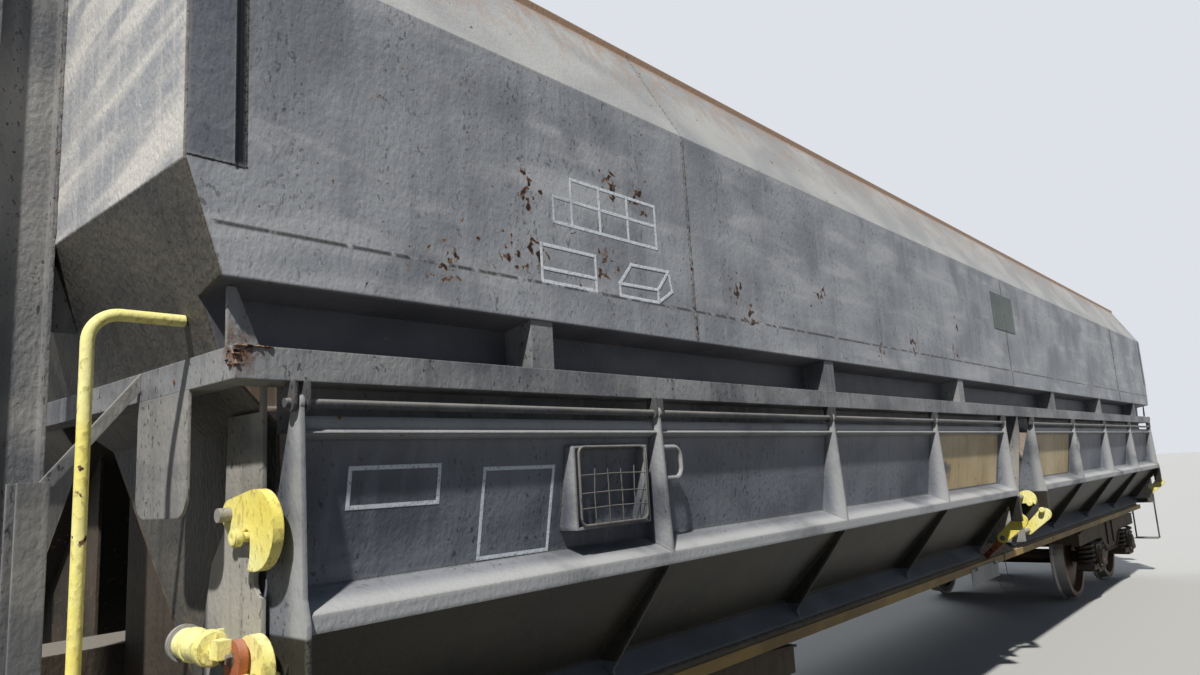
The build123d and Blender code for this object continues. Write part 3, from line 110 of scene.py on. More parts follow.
def mask(value, low, high):
    """Smooth mask that is 0 at low and 1 at high."""
    inputs = {"Value": value, "From Min": low, "From Max": high}
    return shader(value.id_data, "MapRange", inputs, interpolation_type="SMOOTHSTEP").outputs["Result"]


def band(value, rise, fall):
    """Mask that goes from 0 to 1 over rise and back to 0 over fall, whose outer bound is named first."""
    return times(mask(value, *rise), mask(value, *fall))


def tint(amount, below, above):
    """Colour between below and above by amount."""
    return shader(amount.id_data, "Mix", {0: amount, 6: below, 7: above}, data_type="RGBA").outputs[2]


def mottle(value, low, dark, pale):
    """Dark colour where a noise value is under low, pale where it is over 1 - low, and mixed between."""
    return tint(mask(value, low, 1 - low), dark, pale)


def split(vector):
    """The X, Y and Z sockets of a vector."""
    return shader(vector.id_data, "SeparateXYZ", {0: vector}).outputs


def distance(vector, place):
    """Distance of a vector from a place."""
    return shader(vector.id_data, "VectorMath", {0: vector, 1: place}, operation="DISTANCE").outputs["Value"]


def noise(place, stretch, detail=4.0, distortion=0.0):
    """Noise value at a place stretched by three factors."""
    scaled = shader(place.id_data, "VectorMath", {0: place, 1: stretch}, operation="MULTIPLY").outputs[0]
    inputs = {"Vector": scaled, "Scale": 1.0, "Detail": detail, "Distortion": distortion}
    return shader(place.id_data, "TexNoise", inputs).outputs["Fac"]


def rgb(red, green, blue):
    """Linear colour of an sRGB triple."""
    shares = (red / 255, green / 255, blue / 255)
    linear = [share / 12.92 if share <= 0.04 else ((share + 0.055) / 1.055) ** 2.4 for share in shares]
    return (*linear, 1.0)


# What every finish shares: clouds, ripples of painted sheen, runs, pits and dark specks, rust, drips, dust,
# worn edges, relief
WEATHER_INPUTS = ["Rust", "Dust", "Relief", "Round"]
WEATHER_OUTPUTS = ["Clouds", "Painted Sheen", "Runs", "Grain", "Pits", "Specks",
                   "Spots", "Rust", "Drips", "Dust", "Edges", "Normal"]
RELIEF_DEPTH = 0.0028
weather = bpy.data.node_groups.new("weather", "ShaderNodeTree")
for label in WEATHER_INPUTS:
    weather.interface.new_socket(name=label, in_out="INPUT", socket_type="NodeSocketFloat")
for label in WEATHER_OUTPUTS:
    kind = "NodeSocketVector" if label == "Normal" else "NodeSocketFloat"
    weather.interface.new_socket(name=label, in_out="OUTPUT", socket_type=kind)
weather_in, weather_out = weather.nodes.new("NodeGroupInput"), weather.nodes.new("NodeGroupOutput")
place = shader(weather, "TexCoord").outputs["Object"]
surface = shader(weather, "NewGeometry")
facing = split(surface.outputs["Normal"])
clouds = noise(place, (2.0, 2.0, 2.6), detail=6.0, distortion=0.3)
# Painted sheen: long pale ripples that stand for sunlight glinting on the dented sheet
waves = noise(place, (1.5, 1.5, 9.0), detail=2.0, distortion=0.5)
painted_sheen = times(mask(waves, 0.48, 0.70), mask(clouds, 0.36, 0.56))
runs = noise(place, (22.0, 22.0, 1.3), detail=4.0, distortion=0.1)
grain = noise(place, (140.0, 140.0, 140.0), detail=2.0)
pits = mask(noise(place, (66.0, 66.0, 40.0), detail=4.0, distortion=0.2), 0.30, 0.70)
speck_noise = noise(place, (80.0, 80.0, 46.0), detail=2.0, distortion=0.2)
speck_rows = noise(place, (9.0, 9.0, 0.9), detail=2.0)
specks = times(mask(speck_noise, 0.61, 0.67), mask(speck_rows, 0.42, 0.58))
spots = noise(place, (30.0, 30.0, 28.0), detail=4.0, distortion=0.3)
clusters = noise(place, (1.1, 1.1, 1.7), detail=3.0, distortion=0.5)
cluster_level = times(mask(clusters, 0.40, 0.66), 0.13)
rust_room = times(weather_in.outputs["Rust"], 0.22)
rust_floor = minus(0.84, plus(rust_room, cluster_level))
rust = minus(spots, rust_floor)
drip_noise = noise(place, (34.0, 34.0, 1.8), detail=3.0)
drips = times(mask(drip_noise, 0.62, 0.74), mask(clusters, 0.50, 0.68))
drips = times(drips, weather_in.outputs["Rust"])
upward = mask(facing["Z"], 0.1, 0.7)
settled = times(upward, mask(clouds, 0.2, 0.45))
rounded = shader(weather, "Bevel", {"Radius": weather_in.outputs["Round"]}, samples=2)
flatness = shader(weather, "VectorMath", {0: rounded.outputs[0], 1: surface.outputs["True Normal"]},
                  operation="DOT_PRODUCT").outputs["Value"]
edges = mask(flatness, 0.995, 0.88)
height = plus(times(pits, 0.7), times(grain, 0.12))
height = plus(height, times(mask(rust, 0.0, 0.04), 0.2))
height = minus(height, times(specks, 0.2))
relief = shader(weather, "Bump", {"Strength": weather_in.outputs["Relief"], "Distance": RELIEF_DEPTH,
                                  "Height": height, "Normal": rounded.outputs[0]})
dusty = times(settled, weather_in.outputs["Dust"])
results = [clouds, painted_sheen, runs, grain, pits, specks, spots, rust, drips, dusty, edges, relief.outputs[0]]
for label, result in zip(WEATHER_OUTPUTS, results):
    weather.links.new(result, weather_out.inputs[label])

RUST_HOLE = rgb(22, 18, 17)
RUST_DARK = rgb(66, 48, 42)
RUST_BRIGHT = rgb(132, 98, 76)
RUST_RIM = rgb(160, 146, 130)
DRIP = rgb(150, 118, 84)
DUST = rgb(172, 168, 160)
BARE_EDGE = rgb(170, 168, 164)
SPECK = rgb(30, 29, 30)
MATT = 0.2


def rusted(got, colour, level):
    """Colour broken by rust: a pale blistered rim, brown scale, and a dark hole at the highest level."""
    scale = mottle(got["Grain"], 0.38, RUST_DARK, RUST_BRIGHT)
    colour = tint(times(mask(level, 0.0, 0.02), 0.5), colour, RUST_RIM)
    colour = tint(mask(level, 0.012, 0.04), colour, scale)
    return tint(mask(level, 0.055, 0.085), colour, RUST_HOLE)


def finish(name, coat, rust=0.4, dust=0.5, relief=0.5, rough=0.5, worn=0.35, chip=BARE_EDGE, metal=0.0,
           fold=0.005):
    """Weathered finish; coat gives the colour under the dirt from tree, weather node and place."""
    made = bpy.data.materials.new(name)
    made.use_nodes = True
    tree = made.node_tree
    tree.nodes.clear()
    used = shader(tree, "Group", node_tree=weather)
    for label, amount in zip(WEATHER_INPUTS, (rust, dust, relief, fold)):
        used.inputs[label].default_value = amount
    got = used.outputs
    spot = split(shader(tree, "TexCoord").outputs["Object"])
    colour = coat(tree, got, spot)
    colour = tint(got["Dust"], colour, DUST)
    colour = tint(times(got["Drips"], 0.6), colour, DRIP)
    edge_level = times(got["Edges"], mask(got["Grain"], 0.38, 0.52))
    colour = tint(times(edge_level, worn), colour, chip)
    colour = rusted(got, colour, got["Rust"])
    roughness = plus(times(mask(got["Rust"], 0.0, 0.03), 0.3), rough)
    roughness = plus(roughness, times(got["Dust"], 0.3))
    skin = shader(tree, "BsdfPrincipled", {"Base Color": colour, "Roughness": roughness, "Metallic": metal,
                                           "Specular IOR Level": MATT, "Normal": got["Normal"]})
    shader(tree, "OutputMaterial", {0: skin.outputs[0]})
    return made


def brushed(dark, pale, sheen=0.5, run=0.4, speck=0.7):
    """Coat of brushed paint: mottled, with pale ripples of painted sheen, upright brush marks and dark
    specks.
    """
    def coat(tree, got, spot):
        colour = mottle(got["Clouds"], 0.32, dark, pale)
        colour = tint(times(mask(got["Runs"], 0.48, 0.70), run), colour, pale)
        colour = tint(times(mask(got["Runs"], 0.48, 0.30), run), colour, dark)
        colour = tint(times(got["Painted Sheen"], sheen), colour, pale)
        return tint(times(got["Specks"], speck), colour, SPECK)
    return coat


def painted(name, dark, pale, sheen=0.5, run=0.4, speck=0.7, **weathering):
    """Finish of brushed paint between two sRGB triples."""
    return finish(name, brushed(rgb(*dark), rgb(*pale), sheen, run, speck), **weathering)


def dress(finish_made, *starts):
    """Gives the finish to each CAD node whose name starts so."""
    for name, node in nodes.items():
        if name.startswith(starts):
            node.data.materials.clear()
            node.data.materials.append(finish_made)


SIDE_DARK = rgb(128, 131, 137)
SIDE_PALE = rgb(168, 171, 176)
SHEEN_PALE = rgb(202, 203, 204)
SLOPE_DARK = rgb(140, 142, 144)
SLOPE_PALE = rgb(168, 169, 168)
RIDGE = rgb(154, 126, 104)
UNDER_LIP_SHADE_DARK = rgb(74, 76, 84)
UNDER_LIP_SHADE_PALE = rgb(94, 95, 101)
LOAD_DUST = rgb(124, 114, 102)
LOAD_STAIN = rgb(100, 88, 76)
END_STRIP = rgb(92, 96, 105)
GROOVE_SHADE = rgb(20, 22, 30)
GROOVE = (6.316, 6.349)
CORNER_CRACK = 2.497 + TREAD
RUST_PLACES = [
    (5.36, 2.66), (5.47, 2.42), (5.34, 2.44), (4.93, 2.78), (4.75, 2.76), (4.98, 2.48), (4.10, 2.48),
    (3.27, 2.56), (1.28, 2.42), (2.58, 2.33), (5.70, 2.35), (3.98, 2.37), (1.20, 2.62), (2.05, 2.40),
]
RUST_REACH = 0.14


def load_steel(got):
    """Brown of steel that the load has scoured."""
    return mottle(got["Runs"], 0.4, LOAD_DUST, LOAD_STAIN)


def load_worn(tree, got, spot, colour):
    """Colour outside, and scoured steel on faces that look in towards the wagon's middle line."""
    faces = split(shader(tree, "TexCoord").outputs["Normal"])["Y"]
    inward = math_of("MULTIPLY", faces, spot["Y"])
    scoured = load_steel(got)
    return tint(mask(inward, -0.1, -0.4), colour, scoured)


def side_coat(tree, got, spot):
    """Dark brushed side with painted sheen, pale slope with brown streaks below the rim, painted shade in the
    corner groove and under the smooth fold, and a dusty inside.
    """
    side = brushed(SIDE_DARK, SIDE_PALE, speck=0.5)(tree, got, spot)
    # Painted sheen: pale ripples of glinting sunlight over the side
    side = tint(times(got["Painted Sheen"], 0.35), side, SHEEN_PALE)
    slope = mottle(got["Clouds"], 0.35, SLOPE_DARK, SLOPE_PALE)
    streak = times(mask(got["Runs"], 0.44, 0.62), mask(spot["Z"], CREASE, TOP))
    slope = tint(times(streak, 0.6), slope, RIDGE)
    slope = tint(mask(spot["Z"], TOP - 0.07, TOP - 0.02), slope, RIDGE)
    colour = tint(mask(spot["Z"], CREASE - 0.012, CREASE + 0.004), side, slope)
    seam = band(spot["Z"], (SEAM - 0.012, SEAM - 0.003), (SEAM + 0.008, SEAM + 0.001))
    seam = times(seam, mask(got["Runs"], 0.36, 0.50))
    colour = tint(times(seam, 0.9), colour, RUST_HOLE)
    run = absolute(spot["X"])
    groove = band(run, (GROOVE[0] - 0.002, GROOVE[0] + 0.002), (GROOVE[1] + 0.002, GROOVE[1] - 0.002))
    above_bend = band(spot["Z"], (CORNER_CRACK - 0.01, CORNER_CRACK + 0.02), (CREASE + 0.002, CREASE - 0.002))
    end_strip = times(mask(run, GROOVE[1], GROOVE[1] + 0.004), above_bend)
    colour = tint(times(end_strip, 0.7), colour, END_STRIP)
    colour = tint(times(groove, above_bend), colour, GROOVE_SHADE)
    crack_height = math_of("ADD", spot["Z"], times(got["Grain"], 0.006))
    crack = band(crack_height, (CORNER_CRACK + 0.001, CORNER_CRACK + 0.004),
                 (CORNER_CRACK + 0.010, CORNER_CRACK + 0.007))
    crack = times(crack, mask(run, GROOVE[0] - 0.002, GROOVE[0]))
    colour = tint(crack, colour, RUST_HOLE)
    seen_side = math_of("SIGN", spot["Y"])
    turned = math_of("MULTIPLY", spot["X"], seen_side)
    flat = shader(tree, "CombineXYZ", {0: turned, 1: spot["Z"]}).outputs[0]
    near = None
    for rust_x, rust_z in RUST_PLACES:
        patch = mask(distance(flat, (rust_x, rust_z + TREAD, 0)), RUST_REACH, 0.0)
        near = larger(near, patch) if near else patch
    rust_level = plus(got["Spots"], times(near, 0.19))
    colour = rusted(got, colour, minus(rust_level, 0.69))
    butt = absolute(math_of("SUBTRACT", run, BUTT_WELD_X))
    burnt = times(mask(butt, 0.018, 0.004), mask(got["Grain"], 0.50, 0.60))
    colour = tint(times(burnt, 0.9), colour, SPECK)
    # Painted shade under the lip's fold
    under = mask(spot["Z"], LIP + 0.006, LIP - 0.004)
    colour = tint(under, colour, mottle(got["Clouds"], 0.4, UNDER_LIP_SHADE_DARK, UNDER_LIP_SHADE_PALE))
    return load_worn(tree, got, spot, colour)


side_paint = finish("side_paint", side_coat, rust=0.25, dust=0.12, relief=0.42, fold=0.010)
dress(side_paint, "hopper_side")

# Butt welds: a lumpy bead runs up each side from lip to crease at three places, burnt dark and painted over.
# They and the other small parts are made of rings, tubes, blocks and beads.
ENDS = {"front": 1, "rear": -1}
SIDES = {"left": 1, "right": -1}
CORNERS = {"front_left": (1, 1), "front_right": (1, -1), "rear_left": (-1, 1), "rear_right": (-1, -1)}
SHARP = math.radians(35)


def settle(name, mesh_maker, finish_made, body="root"):
    """Object from a bmesh, with its finish, smooth but for sharp edges, riding on a body."""
    mesh = bpy.data.meshes.new(name)
    bmesh.ops.recalc_face_normals(mesh_maker, faces=mesh_maker.faces)
    mesh_maker.to_mesh(mesh)
    mesh_maker.free()
    mesh.materials.append(finish_made)
    mesh.shade_smooth()
    mesh.set_sharp_from_angle(angle=SHARP)
    made = bpy.data.objects.new(name, mesh)
    bpy.context.scene.collection.objects.link(made)
    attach(made, body)


def ring_of(maker, centre, axis, radius, sides, first=None):
    """Ring of vertices about an axis, with an optional first direction."""
    axis = Vector(axis).normalized()
    first = (first or axis.orthogonal()).normalized()
    second = axis.cross(first)
    turns = [2 * math.pi * k / sides for k in range(sides)]
    outward = [math.cos(turn) * first + math.sin(turn) * second for turn in turns]
    return [maker.verts.new(Vector(centre) + radius * way) for way in outward]


def bridge(maker, rings, closed=False):
    """Faces between rings that follow one another, with caps at the ends unless the rings are closed."""
    pairs = list(zip(rings, rings[1:])) + ([(rings[-1], rings[0])] if closed else [])
    for low, high in pairs:
        for k in range(len(low)):
            after = (k + 1) % len(low)
            maker.faces.new((low[k], low[after], high[after], high[k]))
    if not closed:
        maker.faces.new(list(reversed(rings[0])))
        maker.faces.new(rings[-1])


def lathe(maker, centre, axis, profile, sides):
    """Turned piece; its profile gives each ring's distance along the axis and its radius."""
    centre, axis = Vector(centre), Vector(axis).normalized()
    bridge(maker, [ring_of(maker, centre + axis * lift, axis, radius, sides) for lift, radius in profile])


def tube(maker, points, radius, sides, closed=False, radii=None):
    """Tube along points, with its own radius at each where radii says so."""
    points = [Vector(p) for p in points]
    count = len(points)
    rings, first = [], None
    for k, point in enumerate(points):
        before = points[k - 1] if k or closed else point
        after = points[(k + 1) % count] if k + 1 < count or closed else point
        axis = (after - before).normalized()
        first = axis.orthogonal() if first is None else first - axis * first.dot(axis)
        rings.append(ring_of(maker, point, axis, radii[k] if radii else radius, sides, first))
    bridge(maker, rings, closed=closed)


def block(maker, low, high, edge):
    """Box between two corners, with its edges chamfered by edge."""
    size = [abs(b - a) for a, b in zip(low, high)]
    placed = Matrix.Translation((Vector(low) + Vector(high)) / 2) @ Matrix.Diagonal((*size, 1))
    made = bmesh.ops.create_cube(maker, size=1, matrix=placed)
    edges = dict.fromkeys(e for v in made["verts"] for e in v.link_edges)
    bmesh.ops.bevel(maker, geom=list(edges), offset=edge, segments=2, affect="EDGES")


def weld_bead(maker, start, stop, seed, radius=0.005, pitch=0.012):
    """Lumpy weld bead between two points, its scales laid one after the other."""
    draw = random.Random(seed)
    start, stop = Vector(start), Vector(stop)
    count = max(3, round((stop - start).length / pitch))
    points = [start.lerp(stop, k / count) for k in range(count + 1)]
    wander = [p + Vector([draw.uniform(-1, 1) * radius * 0.25 for _ in range(3)]) for p in points]
    radii = [radius * (0.5 if k in (0, count) else draw.uniform(0.75, 1.25)) for k in range(count + 1)]
    tube(maker, wander, radius, sides=6, radii=radii)


weld_paint = painted("weld_paint", (78, 78, 82), (124, 122, 120), rust=0.8, dust=0.2, relief=0.9, worn=0.6)
rusty_weld = painted("rusty_weld", (92, 66, 50), (132, 104, 84), rust=1.0, dust=0.2, relief=1.0, worn=0.3)
for side_name, side in SIDES.items():
    maker = bmesh.new()
    for x in (-BUTT_WELD_X, 0.02, BUTT_WELD_X):
        high_face, low_face = side * SIDE_FACE, side * (SIDE_FACE + SEAM_LAP)
        weld_bead(maker, (x, high_face, SEAM + 0.01), (x, high_face, CREASE - 0.01), seed=round(x))
        weld_bead(maker, (x, low_face, LIP + 0.01), (x, low_face, SEAM - 0.002), seed=round(x) + 7)
    settle(f"side_butt_welds_{side_name}", maker, weld_paint)

# Painted frames: white lines that stencils leave on the side, blank inside, 12 mm wide and partly worn off.
# Only the seen side has them and plates, because nothing shows what the far side carries.
SEEN = -1
LINE = 0.012
FILM = 0.0006
LAYER = 0.00004  # each line lies this much higher than the one before it, so that crossings stay clean


def line_coat(tree, got, spot):
    """White line paint that has partly gone back to the grey below it."""
    gone = plus(mask(got["Grain"], 0.56, 0.66), mask(got["Clouds"], 0.60, 0.74))
    return tint(times(gone, 0.55), rgb(226, 232, 238), rgb(118, 120, 126))


line_paint = finish("line_paint", line_coat, rust=0.1, dust=0.1, relief=0.3, rough=0.6, worn=0.0)


def paint_lines(maker, lines, face_at):
    """Painted lines between places (x, height) on the seen side; face_at gives how far out the film lies."""
    for layer, (start, stop) in enumerate(lines):
        a, b = Vector(start), Vector(stop)
        ahead = (b - a).normalized() * LINE / 2
        aside = Vector((-ahead.y, ahead.x))
        corners = [a - ahead - aside, b + ahead - aside, b + ahead + aside, a - ahead + aside]
        lifts = (-FILM / 2, FILM / 2 + layer * LAYER)
        bridge(maker, [[maker.verts.new((SEEN * x, SEEN * (face_at(z) + lift), z)) for x, z in corners]
                       for lift in lifts])


def outline(corners):
    """Runs between corners, closed."""
    return list(zip(corners, corners[1:] + corners[:1]))


LOAD_TABLE_ROWS = (2.603, 2.694, 2.776)
LOAD_TABLE_COLUMNS = (5.240, 5.148, 4.998, 4.836, 4.662)
MASS_FRAME = (5.309, 5.036, 2.384, 2.430, 2.512)
SKETCH_FRONT = [(4.905, 2.430), (4.672, 2.435), (4.674, 2.384), (4.903, 2.384)]
SKETCH_BACK = [(4.905, 2.430), (4.831, 2.512), (4.597, 2.518), (4.580, 2.439), (4.674, 2.384), (4.672, 2.435)]
low, middle, high = LOAD_TABLE_ROWS
columns = LOAD_TABLE_COLUMNS
side_lines = [((columns[0], low), (columns[-1], low)), ((columns[0], middle), (columns[-1], middle)),
              ((columns[1], high), (columns[-1], high)), ((columns[0], low), (columns[0], middle))]
side_lines += [((x, low), (x, high)) for x in columns[1:]]
left_x, right_x, foot, divider, head = MASS_FRAME
side_lines += outline([(left_x, foot), (right_x, foot), (right_x, head), (left_x, head)])
side_lines += [((left_x, divider), (right_x, divider))]
side_lines += outline(SKETCH_FRONT) + outline(SKETCH_BACK) + [(SKETCH_FRONT[1], SKETCH_BACK[2])]
maker = bmesh.new()
paint_lines(maker, side_lines, lambda z: SIDE_FACE + FILM)
settle("side_frames_rear_right", maker, line_paint)

# Small side plate: a bare sheet plate near the middle, riveted at its corners, its field painted dull green
PLATE_HALF = 0.285
PLATE_LOW = 2.70
PLATE_HIGH = 3.00
PLATE_SHEET = 0.003
RIVET_INSET = 0.02
RIVET = [(0, 0.006), (0.002, 0.005), (0.003, 0.002)]
plate_green = painted("plate_green", (74, 86, 82), (106, 114, 110), rust=0.3, dust=0.2, relief=0.2)
maker = bmesh.new()
plate_face = SEEN * (SIDE_FACE + PLATE_SHEET)
block(maker, (-PLATE_HALF, SEEN * SIDE_FACE, PLATE_LOW), (PLATE_HALF, plate_face, PLATE_HIGH), edge=0.001)
for x in (-1, 1):
    for z in (PLATE_LOW + RIVET_INSET, PLATE_HIGH - RIVET_INSET):
        lathe(maker, (x * (PLATE_HALF - RIVET_INSET), plate_face, z), (0, SEEN, 0), RIVET, sides=10)
settle("side_plate_right", maker, plate_green)

# Hopper ends: wall, slope and bulkhead folded from one sheet, with a box along the top. The wall faces the
# sun: pale painted glare in slanted bands of painted light and shade; the slope below it is darker and dusty.
END_BEND = 2.49 + TREAD
END_SHEET_X = 6.47
END_SUNLIT_PALE = rgb(214, 211, 205)
END_SUNLIT_MIDDLE = rgb(160, 162, 166)
END_SLOPE_DARK = rgb(44, 45, 48)
END_SLOPE_PALE = rgb(90, 88, 82)
END_SLOPE_BROWN = rgb(104, 94, 82)
BAND_LEAN = math.radians(8)


def end_coat(tree, got, spot):
    """Pale painted glare in slanted bands of painted light and shade on the wall, a rough darker tone on the
    slope; dusty brown inside.
    """
    place = shader(tree, "TexCoord").outputs["Object"]
    # The wall: slanted bands of painted light and shade over a pale painted glare
    leaned = shader(tree, "Mapping", {0: place, "Rotation": (BAND_LEAN, 0, 0)})
    waves = noise(leaned.outputs[0], (1.2, 1.5, 11.0), detail=2.0, distortion=0.35)
    wall = tint(mask(waves, 0.36, 0.66), END_SUNLIT_MIDDLE, END_SUNLIT_PALE)
    wall = tint(times(mask(got["Runs"], 0.46, 0.66), 0.4), wall, END_SUNLIT_PALE)
    wall = tint(times(mask(got["Clouds"], 0.5, 0.7), 0.35), wall, END_SUNLIT_MIDDLE)
    # The slope: a darker brushed tone with brown patches
    slope = brushed(END_SLOPE_DARK, END_SLOPE_PALE, sheen=0.2)(tree, got, spot)
    brown = times(mask(got["Pits"], 0.55, 0.8), mask(got["Clouds"], 0.5, 0.62))
    slope = tint(times(brown, 0.6), slope, END_SLOPE_BROWN)
    colour = tint(mask(spot["Z"], END_BEND + 0.004, END_BEND - 0.006), wall, slope)
    faces = split(shader(tree, "NewGeometry").outputs["Normal"])["X"]
    outward = math_of("MULTIPLY", faces, spot["X"])
    scoured = load_steel(got)
    return tint(mask(outward, 0.5, -0.5), colour, scoured)


end_paint = finish("end_paint", end_coat, rust=0.1, dust=0.25, relief=0.8, fold=0.010)
dress(end_paint, "hopper_end")

# Sill rails and end beams: rolled square bars round the hopper's foot, painted grey, worn bare and rusty at
# the mitred corners, which a lumpy weld closes.
RAIL_TOP = 2.06 + TREAD
RAIL_CORNER = (6.338, 1.428)
WELD_LUMPS = 54
LUMPS_ALONG = 34  # the other lumps run down the corner


def rail_coat(tree, got, spot):
    """Grey paint that has burnt and rusted away round the welded corners."""
    grey = brushed(rgb(90, 92, 97), rgb(146, 147, 148))(tree, got, spot)
    apart = [absolute(spot[axis]) for axis in "XY"]
    at = shader(tree, "CombineXYZ", {0: apart[0], 1: apart[1], 2: spot["Z"]}).outputs[0]
    from_corner = distance(at, (*RAIL_CORNER, RAIL_TOP))
    burnt = times(mask(from_corner, 0.095, 0.02), mask(got["Spots"], 0.40, 0.52))
    scale = mottle(got["Grain"], 0.38, RUST_DARK, RUST_BRIGHT)
    return load_worn(tree, got, spot, tint(burnt, grey, scale))


rail_paint = finish("rail_paint", rail_coat, rust=0.15, dust=0.35, relief=0.5, worn=0.7)
dress(rail_paint, "sill_rail", "end_beams", "stub_posts", "cross_ties")
for corner, (end, side) in CORNERS.items():
    maker = bmesh.new()
    draw = random.Random("corner " + corner.replace("_", " "))
    for k in range(WELD_LUMPS):
        along = k < LUMPS_ALONG
        inward = draw.choice((0.0, 0.0, draw.uniform(0.0, 0.05)))
        along_rail = draw.uniform(0.0, 0.085) if along else 0.0
        drop = 0.0 if along else draw.uniform(0.0, 0.05)
        x, y = RAIL_CORNER[0] - along_rail, RAIL_CORNER[1] - inward
        moved = Matrix.Translation((end * x, side * y, RAIL_TOP - 0.002 - drop))
        flat = Matrix.Diagonal((draw.uniform(0.8, 1.5), draw.uniform(0.8, 1.3), draw.uniform(0.35, 0.6), 1))
        bmesh.ops.create_icosphere(maker, subdivisions=2, radius=draw.uniform(0.004, 0.009),
                                   matrix=moved @ flat)
    settle(f"corner_weld_{corner}", maker, rusty_weld)

# End posts: welded I-posts that carry the hopper's end, painted grey, with a thick lumpy bead where the sheet
# meets their flange and pale patches where the top coat has gone.
POST_Y = 0.467
FLANGE_EDGE = 0.057
post_paint = painted("post_paint", (106, 108, 112), (154, 153, 150), sheen=0.25,
                     rust=0.12, dust=0.3, relief=0.7)
dress(post_paint, "end_posts")
for end_name, end in ENDS.items():
    maker = bmesh.new()
    for post in (-1, 1):
        for edge in (-FLANGE_EDGE, FLANGE_EDGE):
            x, y = end * (END_SHEET_X + 0.002), post * POST_Y + edge
            weld_bead(maker, (x, y, END_BEND + 0.02), (x, y, TOP - 0.12),
                      seed=round(10 * y) + end, radius=0.007, pitch=0.014)
    settle(f"end_post_welds_{end_name}", maker, weld_paint)

# Corner plates and shields: flame-cut plates between hopper, end beam and headstock, painted with the body
# and rubbed pale by hands and boots; the channel posts and braces beside them carry the end steps.
plate_paint = painted("plate_paint", (104, 105, 107), (166, 163, 156), rust=0.1, dust=0.3, relief=0.5)
shield_paint = painted("shield_paint", (104, 104, 106), (152, 150, 146), rust=0.1, dust=0.3, relief=0.6)
dress(plate_paint, "corner_plates", "channel_posts")
dress(shield_paint, "shield_plates")

# Middle saddle and saddle floor: bent plates that shed the load, scoured brown by it inside, dark below; the
# strip along the chute edge keeps its ochre primer.
OCHRE_TOP = 0.905 + TREAD


def saddle_coat(tree, got, spot):
    """Rust-brown plate scoured by the load, dark underside, ochre strip at the foot."""
    scoured = mottle(got["Runs"], 0.38, rgb(96, 76, 60), rgb(134, 118, 100))
    below = brushed(rgb(38, 37, 35), rgb(60, 57, 52))(tree, got, spot)
    up_facing = split(shader(tree, "NewGeometry").outputs["Normal"])["Z"]
    colour = tint(mask(up_facing, -0.2, 0.2), below, scoured)
    ochre = mottle(got["Clouds"], 0.4, rgb(132, 110, 70), rgb(170, 142, 86))
    return tint(mask(spot["Z"], OCHRE_TOP + 0.004, OCHRE_TOP - 0.004), colour, ochre)


saddle_steel = finish("saddle_steel", saddle_coat, rust=0.35, dust=0.3, relief=0.5, rough=0.6)
dress(saddle_steel, "saddle_floor", "middle_saddle")

# Doors: folded sheet with gussets, ribs and end plates that carry the lock pins. Grey paint on the panels,
# a painted highlight and a little dust on the belly fold, dark olive below it, a bluish painted sky
# reflection on the foot, tan primer in the bays next to the middle, yellow pins.
BELLY = 1.425 + TREAD
NOSE_Y = 1.465
PANEL_Y = 1.400
DOOR_INNER_X = 0.39
DOOR_OUTER_X = 6.19
TAN_BAY = (0.46, 1.79)
FOOT_TOP = 1.012 + TREAD
FOOT_REFLECTION_DARK = rgb(72, 78, 88)
FOOT_REFLECTION_PALE = rgb(98, 104, 112)
YELLOW_DARK = rgb(242, 226, 108)
YELLOW_PALE = rgb(250, 244, 172)


def yellow_coat(tree, got, spot):
    """Yellow signal paint, thick and brushed, bleached in places."""
    colour = mottle(got["Clouds"], 0.35, YELLOW_DARK, YELLOW_PALE)
    return tint(times(mask(got["Pits"], 0.75, 0.95), 0.5), colour, rgb(176, 150, 84))


def door_coat(tree, got, spot):
    """Grey panels, a painted highlight on the belly fold, dark olive below it, a bluish painted sky
    reflection on the foot, tan bays beside the middle, yellow pins.
    """
    panel = brushed(rgb(78, 82, 91), rgb(120, 124, 132))(tree, got, spot)
    depth = absolute(spot["Y"])
    # Painted highlight along the nose of the belly fold
    nose_highlight = times(mask(depth, NOSE_Y - 0.10, NOSE_Y - 0.03), mask(got["Clouds"], 0.25, 0.5))
    panel = tint(times(nose_highlight, 0.75), panel, rgb(178, 179, 180))
    below = brushed(rgb(32, 32, 29), rgb(56, 54, 47), sheen=0.6)(tree, got, spot)
    colour = tint(mask(spot["Z"], BELLY - 0.05, BELLY - 0.06), panel, below)
    # Painted sky reflection: a bluish grey on the door's foot
    foot = mottle(got["Clouds"], 0.4, FOOT_REFLECTION_DARK, FOOT_REFLECTION_PALE)
    colour = tint(mask(spot["Z"], FOOT_TOP, FOOT_TOP - 0.01), colour, foot)
    run = absolute(spot["X"])
    bay = band(run, (TAN_BAY[1] + 0.02, TAN_BAY[1]), (TAN_BAY[0] - 0.02, TAN_BAY[0]))
    above_belly = mask(spot["Z"], BELLY + 0.05, BELLY + 0.06)
    on_panel = times(above_belly, mask(depth, PANEL_Y + 0.002, PANEL_Y - 0.002))
    tan_level = times(times(bay, on_panel), mask(got["Clouds"], 0.30, 0.38))
    tan_coat = mottle(got["Clouds"], 0.35, rgb(190, 168, 126), rgb(210, 192, 156))
    tan_coat = tint(times(mask(got["Runs"], 0.5, 0.7), 0.4), tan_coat, rgb(148, 128, 96))
    colour = tint(tan_level, colour, tan_coat)
    beyond = plus(mask(run, DOOR_OUTER_X - 0.001, DOOR_OUTER_X + 0.001),
                  mask(run, DOOR_INNER_X + 0.001, DOOR_INNER_X - 0.001))
    return tint(beyond, load_worn(tree, got, spot, colour), yellow_coat(tree, got, spot))


